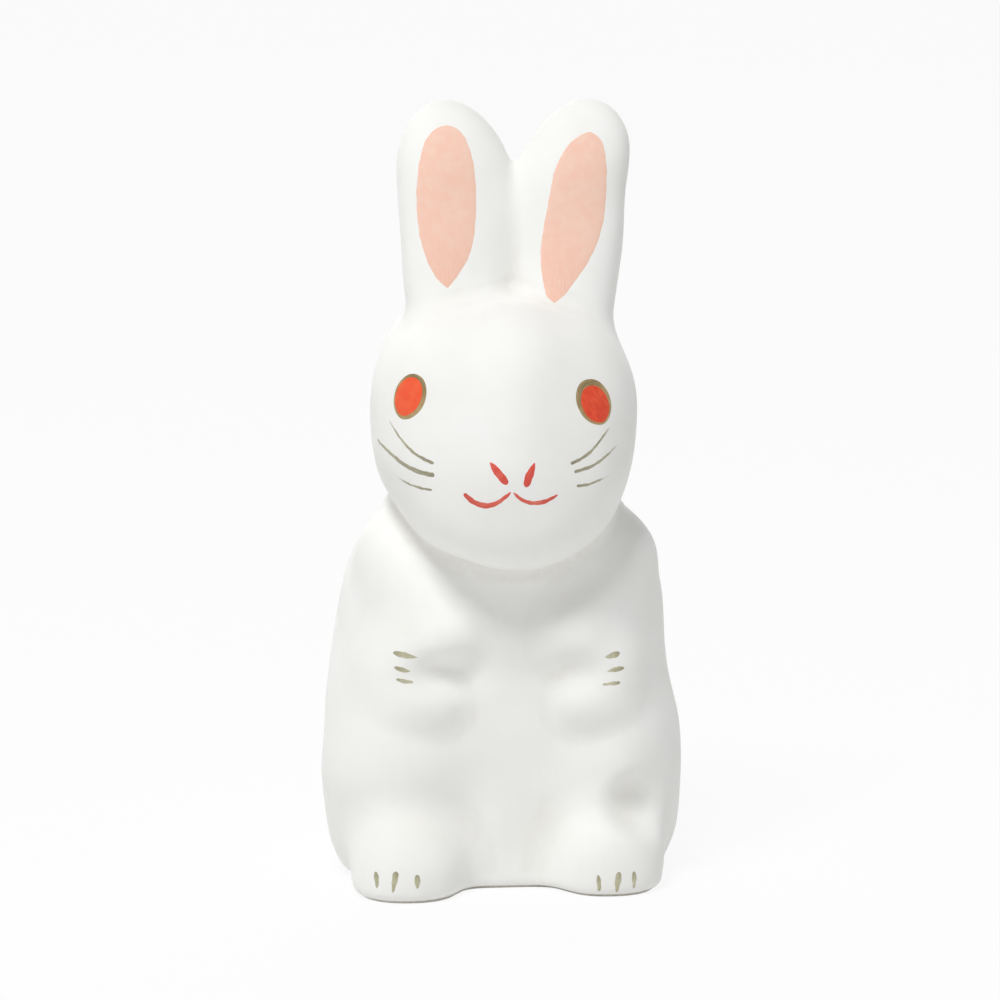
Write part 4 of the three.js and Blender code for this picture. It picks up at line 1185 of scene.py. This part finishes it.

# %% [markdown]
# ## Eyes
# An eye is a vermilion oval inside a gold line that is thicker where the brush turned. The red is
# laid first and a little large, and the gold goes over its edge, so no white shows between them.
# Both are drawn flat on the plane that touches the cheek, and then pushed onto the skin. The right
# eye's red is given the reading of a stroke's start, so it takes the deep tone: painted shade, as
# that eye is turned away from the lamp.

# %% Ovals on the cheek
EYE_TURN = {"left": -47.9, "right": 36.9}
EYE_RISE = {"left": 5.45, "right": 4.7}
EYE_TILT = {"left": -29, "right": 27}
EYE_HALF = {"left": (2.5, 3.1), "right": (2.48, 3.16)}
RED_HALF = {"left": (1.97, 2.57), "right": (1.88, 2.5)}
RED_SHIFT = {"left": (-0.15, -0.1), "right": (0.0, -0.36)}
EYE_TURNS = 64


def eye_plane(name):
    """The centre of an eye, and the directions to the right and up on the plane that touches there."""
    centre = on_head([(EYE_TURN[name], EYE_RISE[name])])
    out = Vector(outward(centre)[0])
    right = Vector((0, 0, 1)).cross(out).normalized()
    up = out.cross(right)
    tilt = math.radians(EYE_TILT[name])
    across = right * math.cos(tilt) + up * math.sin(tilt)
    return centre[0], np.array(across), np.array(out.cross(across))


def eye_rings(name, half_sizes, shifts):
    """Ovals on the cheek, one for each half size and shift."""
    centre, across, up = eye_plane(name)
    turn = np.linspace(0, 2 * np.pi, EYE_TURNS, endpoint=False)
    columns = []
    for (a, b), (dx, dy) in zip(half_sizes, shifts):
        x, y = a * np.cos(turn) + dx, b * np.sin(turn) + dy
        columns.append(centre + x[:, None] * across + y[:, None] * up)
    return settle(np.stack(columns, 1)), turn[:, None]


print("the left eye is centred at", eye_plane("left")[0].round(1))

# %% The red of an eye
RED_UNDER_GOLD = 0.32
RED_RINGS = np.array([0, 0.2, 0.4, 0.6, 0.8, 0.92, 1])
RED_RIM_DRYNESS = 0.3
# A low reading gives the deep tone: the right eye's red is darkened as painted shade.
RED_TAIL_PAINTED_SHADE = {"left": 0.9, "right": 0.1}


def paint_red(name, seed):
    """The vermilion oval, a little larger than what will show."""
    reach = np.array(RED_HALF[name]) + RED_UNDER_GOLD
    sizes = reach * RED_RINGS[:, None]
    grid, turn = eye_rings(name, sizes, [RED_SHIFT[name]] * len(sizes))
    dome = np.tile(np.sqrt(1 - RED_RINGS ** 6), (EYE_TURNS, 1))
    brush = (np.cos(turn) * sizes[:, 0], np.sin(turn) * sizes[:, 1], SEED_APART * seed)
    thin = RED_RIM_DRYNESS * RED_RINGS ** 4
    return paint_film(f"eye_{name}", "eye_red", grid, dome, brush, thin, RED_TAIL_PAINTED_SHADE[name], True)


print("the red runs", RED_UNDER_GOLD, "mm under the gold")

# %% Paint each eye and its gold line
GOLD_RINGS = (crowded(7) + 1) / 2
GOLD_FULLNESS = 1.3
GOLD_DRYNESS = 0.1
GOLD_SWEEP = 2.4
GOLD_LAYER = 3


def paint_ring(name, seed):
    """The gold line round an eye, over the rim of the red."""
    mix = GOLD_RINGS[:, None]
    sizes = np.array(EYE_HALF[name]) * (1 - mix) + np.array(RED_HALF[name]) * mix
    grid, turn = eye_rings(name, sizes, np.array(RED_SHIFT[name]) * mix)
    waver = tremble(np.cos(turn), seed) + tremble(np.sin(turn), seed + 0.5)
    out_ways = grid[:, 0] - grid[:, -1]
    out_ways /= np.linalg.norm(out_ways, axis=1, keepdims=True)
    grid = settle(grid + (out_ways * waver)[:, None])
    dome = np.tile(np.sqrt(1 - (2 * GOLD_RINGS - 1) ** 2), (EYE_TURNS, 1)) * GOLD_FULLNESS
    dome[:, [0, -1]] = 0
    brush = (GOLD_RINGS, turn * GOLD_SWEEP, SEED_APART * seed + GOLD_LAYER)
    tail = 0.5 - 0.5 * np.sin(turn)
    return paint_film(f"eye_ring_{name}", "ring_gold", grid, dome, brush, GOLD_DRYNESS, tail, True)


for seed, name in enumerate(SIDES):
    paint_red(name, seed)
    ring = paint_ring(name, seed)
    print(name, "eye: the gold is", round(ring.dimensions[2] / MM, 1), "mm tall")

# %% [markdown]
# ## Nose and mouth
# The nose is two short dabs that lean towards each other. Each was set down full at its low end and
# flicked up to a point. The mouth is two shallow curves that meet under the nose.

# %% Paint the nose and mouth
NOSTRILS = {
    "left": [(-3.3, -4.95), (-6.9, -3.55), (-10.9, -2.0)],
    "right": [(4.1, -5.4), (5.5, -3.8), (7.9, -2.1)],
}
NOSTRIL_WIDTHS = [(0, 0.9), (0.35, 1.22), (0.7, 0.95), (1, 0.3)]
MOUTHS = {
    "left": [(-21.8, -6.2), (-17.8, -7.35), (-12.2, -7.85), (-6.6, -7.2), (-1.9, -5.85)],
    "right": [(17.8, -6.5), (13.7, -7.18), (8.4, -7.53), (2.8, -7.05), (-1.2, -5.95)],
}
MOUTH_WIDTHS = {
    "left": [(0, 0.6), (0.25, 0.88), (0.6, 0.78), (1, 0.35)],
    "right": [(0, 0.35), (0.3, 0.66), (0.7, 0.58), (1, 0.3)],
}
NOSE_DRY = [(0, 0), (0.7, 0.1), (1, 0.3)]
MOUTH_DRY = [(0, 0), (0.6, 0.1), (1, 0.35)]

for seed, name in enumerate(SIDES):
    dab, curve = on_head(NOSTRILS[name]), on_head(MOUTHS[name])
    brush_stroke(f"nostril_{name}", "nose_red", dab, NOSTRIL_WIDTHS, NOSE_DRY, seed)
    lip = brush_stroke(f"mouth_{name}", "mouth_red", curve, MOUTH_WIDTHS[name], MOUTH_DRY, seed + 2)
    print(name, "half of the mouth:", round(lip.dimensions[0] / MM, 1), "mm across")

# %% [markdown]
# ## Whiskers
# Three fine gold lines fan out over each cheek. They start thick by the muzzle and run dry as they
# go round the cheek, the lowest first.

# %% Paint the whiskers
WHISKERS = {
    "left": [
        [(-34.2, -2.6), (-41.5, -1.88), (-49.5, -0.3), (-58.4, 1.92)],
        [(-34, -4.13), (-41.9, -3.96), (-50.2, -3.21), (-59.1, -2.06), (-71.9, -1.22)],
        [(-35.7, -6.11), (-42.9, -6.04), (-50.7, -5.66), (-58.9, -4.68)],
    ],
    "right": [
        [(23, -2.64), (30, -1.85), (36.2, -0.45), (42.8, 1.33)],
        [(24.5, -3.74), (33.3, -3.16), (40, -2.18), (47, -1.07)],
        [(25.7, -5.57), (30.9, -5.54), (35.3, -5.21), (42.4, -4.66)],
    ],
}
WHISKER_WIDTHS = {"left": [0.5, 0.75, 0.4], "right": [0.5, 0.5, 0.42]}
WHISKER_DRY = {"left": [0.3, 0.2, 0.6], "right": [0.3, 0.4, 0.65]}
WHISKER_SEED = {"left": 4, "right": 5}

for name in SIDES:
    for k, places in enumerate(WHISKERS[name]):
        node, width, dry = f"whisker_{name}_{k + 1}", WHISKER_WIDTHS[name][k], WHISKER_DRY[name][k]
        widths = [(0, width), (0.3, 0.95 * width), (0.7, 0.75 * width), (1, 0.45 * width)]
        dryness = [(0, 0.3 * dry), (0.5, 0.6 * dry), (1, dry + 0.3)]
        seed = k + WHISKER_SEED[name]
        line = brush_stroke(node, "whisker_gold", on_head(places), widths, dryness, seed)
    print(name, "cheek: the last whisker is", round(line.dimensions[2] / MM, 2), "mm tall")

# %% [markdown]
# ## Claws
# Three dabs of gold lie across each paw and three down each foot. They are short and heavy, and no
# two are alike. Their places are measured from the middle of the knuckles and of the foot.

# %% Paint the claws
PAW_CLAWS = {
    "left": [
        ([(-2.0, 2.94), (-0.3, 2.65), (1.2, 2.4)], [(0, 0.5), (0.4, 0.92), (1, 0.2)]),
        ([(-1.8, 1.12), (-0.7, 0.80), (0.35, 0.58)], [(0, 0.3), (0.45, 0.72), (1, 0.25)]),
        ([(-1.5, -0.4), (-0.3, -0.70), (0.8, -0.86)], [(0, 0.3), (0.5, 0.68), (1, 0.25)]),
    ],
    "right": [
        ([(1.05, 2.4), (0.1, 2.15), (-0.95, 1.92)], [(0, 0.6), (0.4, 0.95), (1, 0.25)]),
        ([(1.7, 0.45), (0.6, 0.30), (-0.6, 0.05)], [(0, 0.35), (0.4, 0.72), (1, 0.2)]),
        ([(1.25, -1.44), (0, -1.50), (-1.15, -1.55)], [(0, 0.4), (0.4, 0.58), (1, 0.25)]),
    ],
}
TOE_CLAWS = {
    "left": [
        ([(-4.65, 2.1), (-4.5, 1.1), (-4.4, -0.05)], [(0, 0.6), (0.4, 0.85), (1, 0.3)]),
        ([(-2.1, 2.4), (-2.3, 1.0), (-2.47, -0.45)], [(0, 0.75), (0.3, 0.9), (1, 0.35)]),
        ([(0.55, 2.0), (0.6, 1.1), (0.62, 0.1)], [(0, 0.65), (0.45, 0.85), (1, 0.45)]),
    ],
    "right": [
        ([(-2.1, 1.1), (-1.95, 0), (-1.82, -1.1)], [(0, 0.4), (0.45, 0.7), (1, 0.35)]),
        ([(0.55, 1.5), (0.47, 0.1), (0.35, -1.3)], [(0, 0.6), (0.35, 0.95), (1, 0.4)]),
        ([(2.5, 1.4), (2.6, 0.3), (2.58, -0.9)], [(0, 0.45), (0.45, 0.75), (1, 0.3)]),
    ],
}
CLAW_DRY = [(0, 0.0), (0.6, 0.15), (1, 0.4)]
CLAW_SEED = 3.3


def claws(label, name, marks, aside, level):
    """Three dabs, from places measured across and up from a middle."""
    for k, (places, widths) in enumerate(marks):
        z = level + np.array([up for _, up in places])
        x = aside + lean(z) + np.array([across for across, _ in places])
        node = f"{label}_{name}_{k + 1}"
        brush_stroke(node, "claw_gold", straight_ahead(x, z), widths, CLAW_DRY, k + CLAW_SEED)
    return len(marks)


for name, side in SIDES.items():
    count = claws("paw_claw", name, PAW_CLAWS[name], side * KNUCKLE_ASIDE, KNUCKLE_LEVEL)
    count += claws("toe_claw", name, TOE_CLAWS[name], side * FOOT_ASIDE[name], FOOT_LEVEL)
    print(name, "side:", count, "claws")
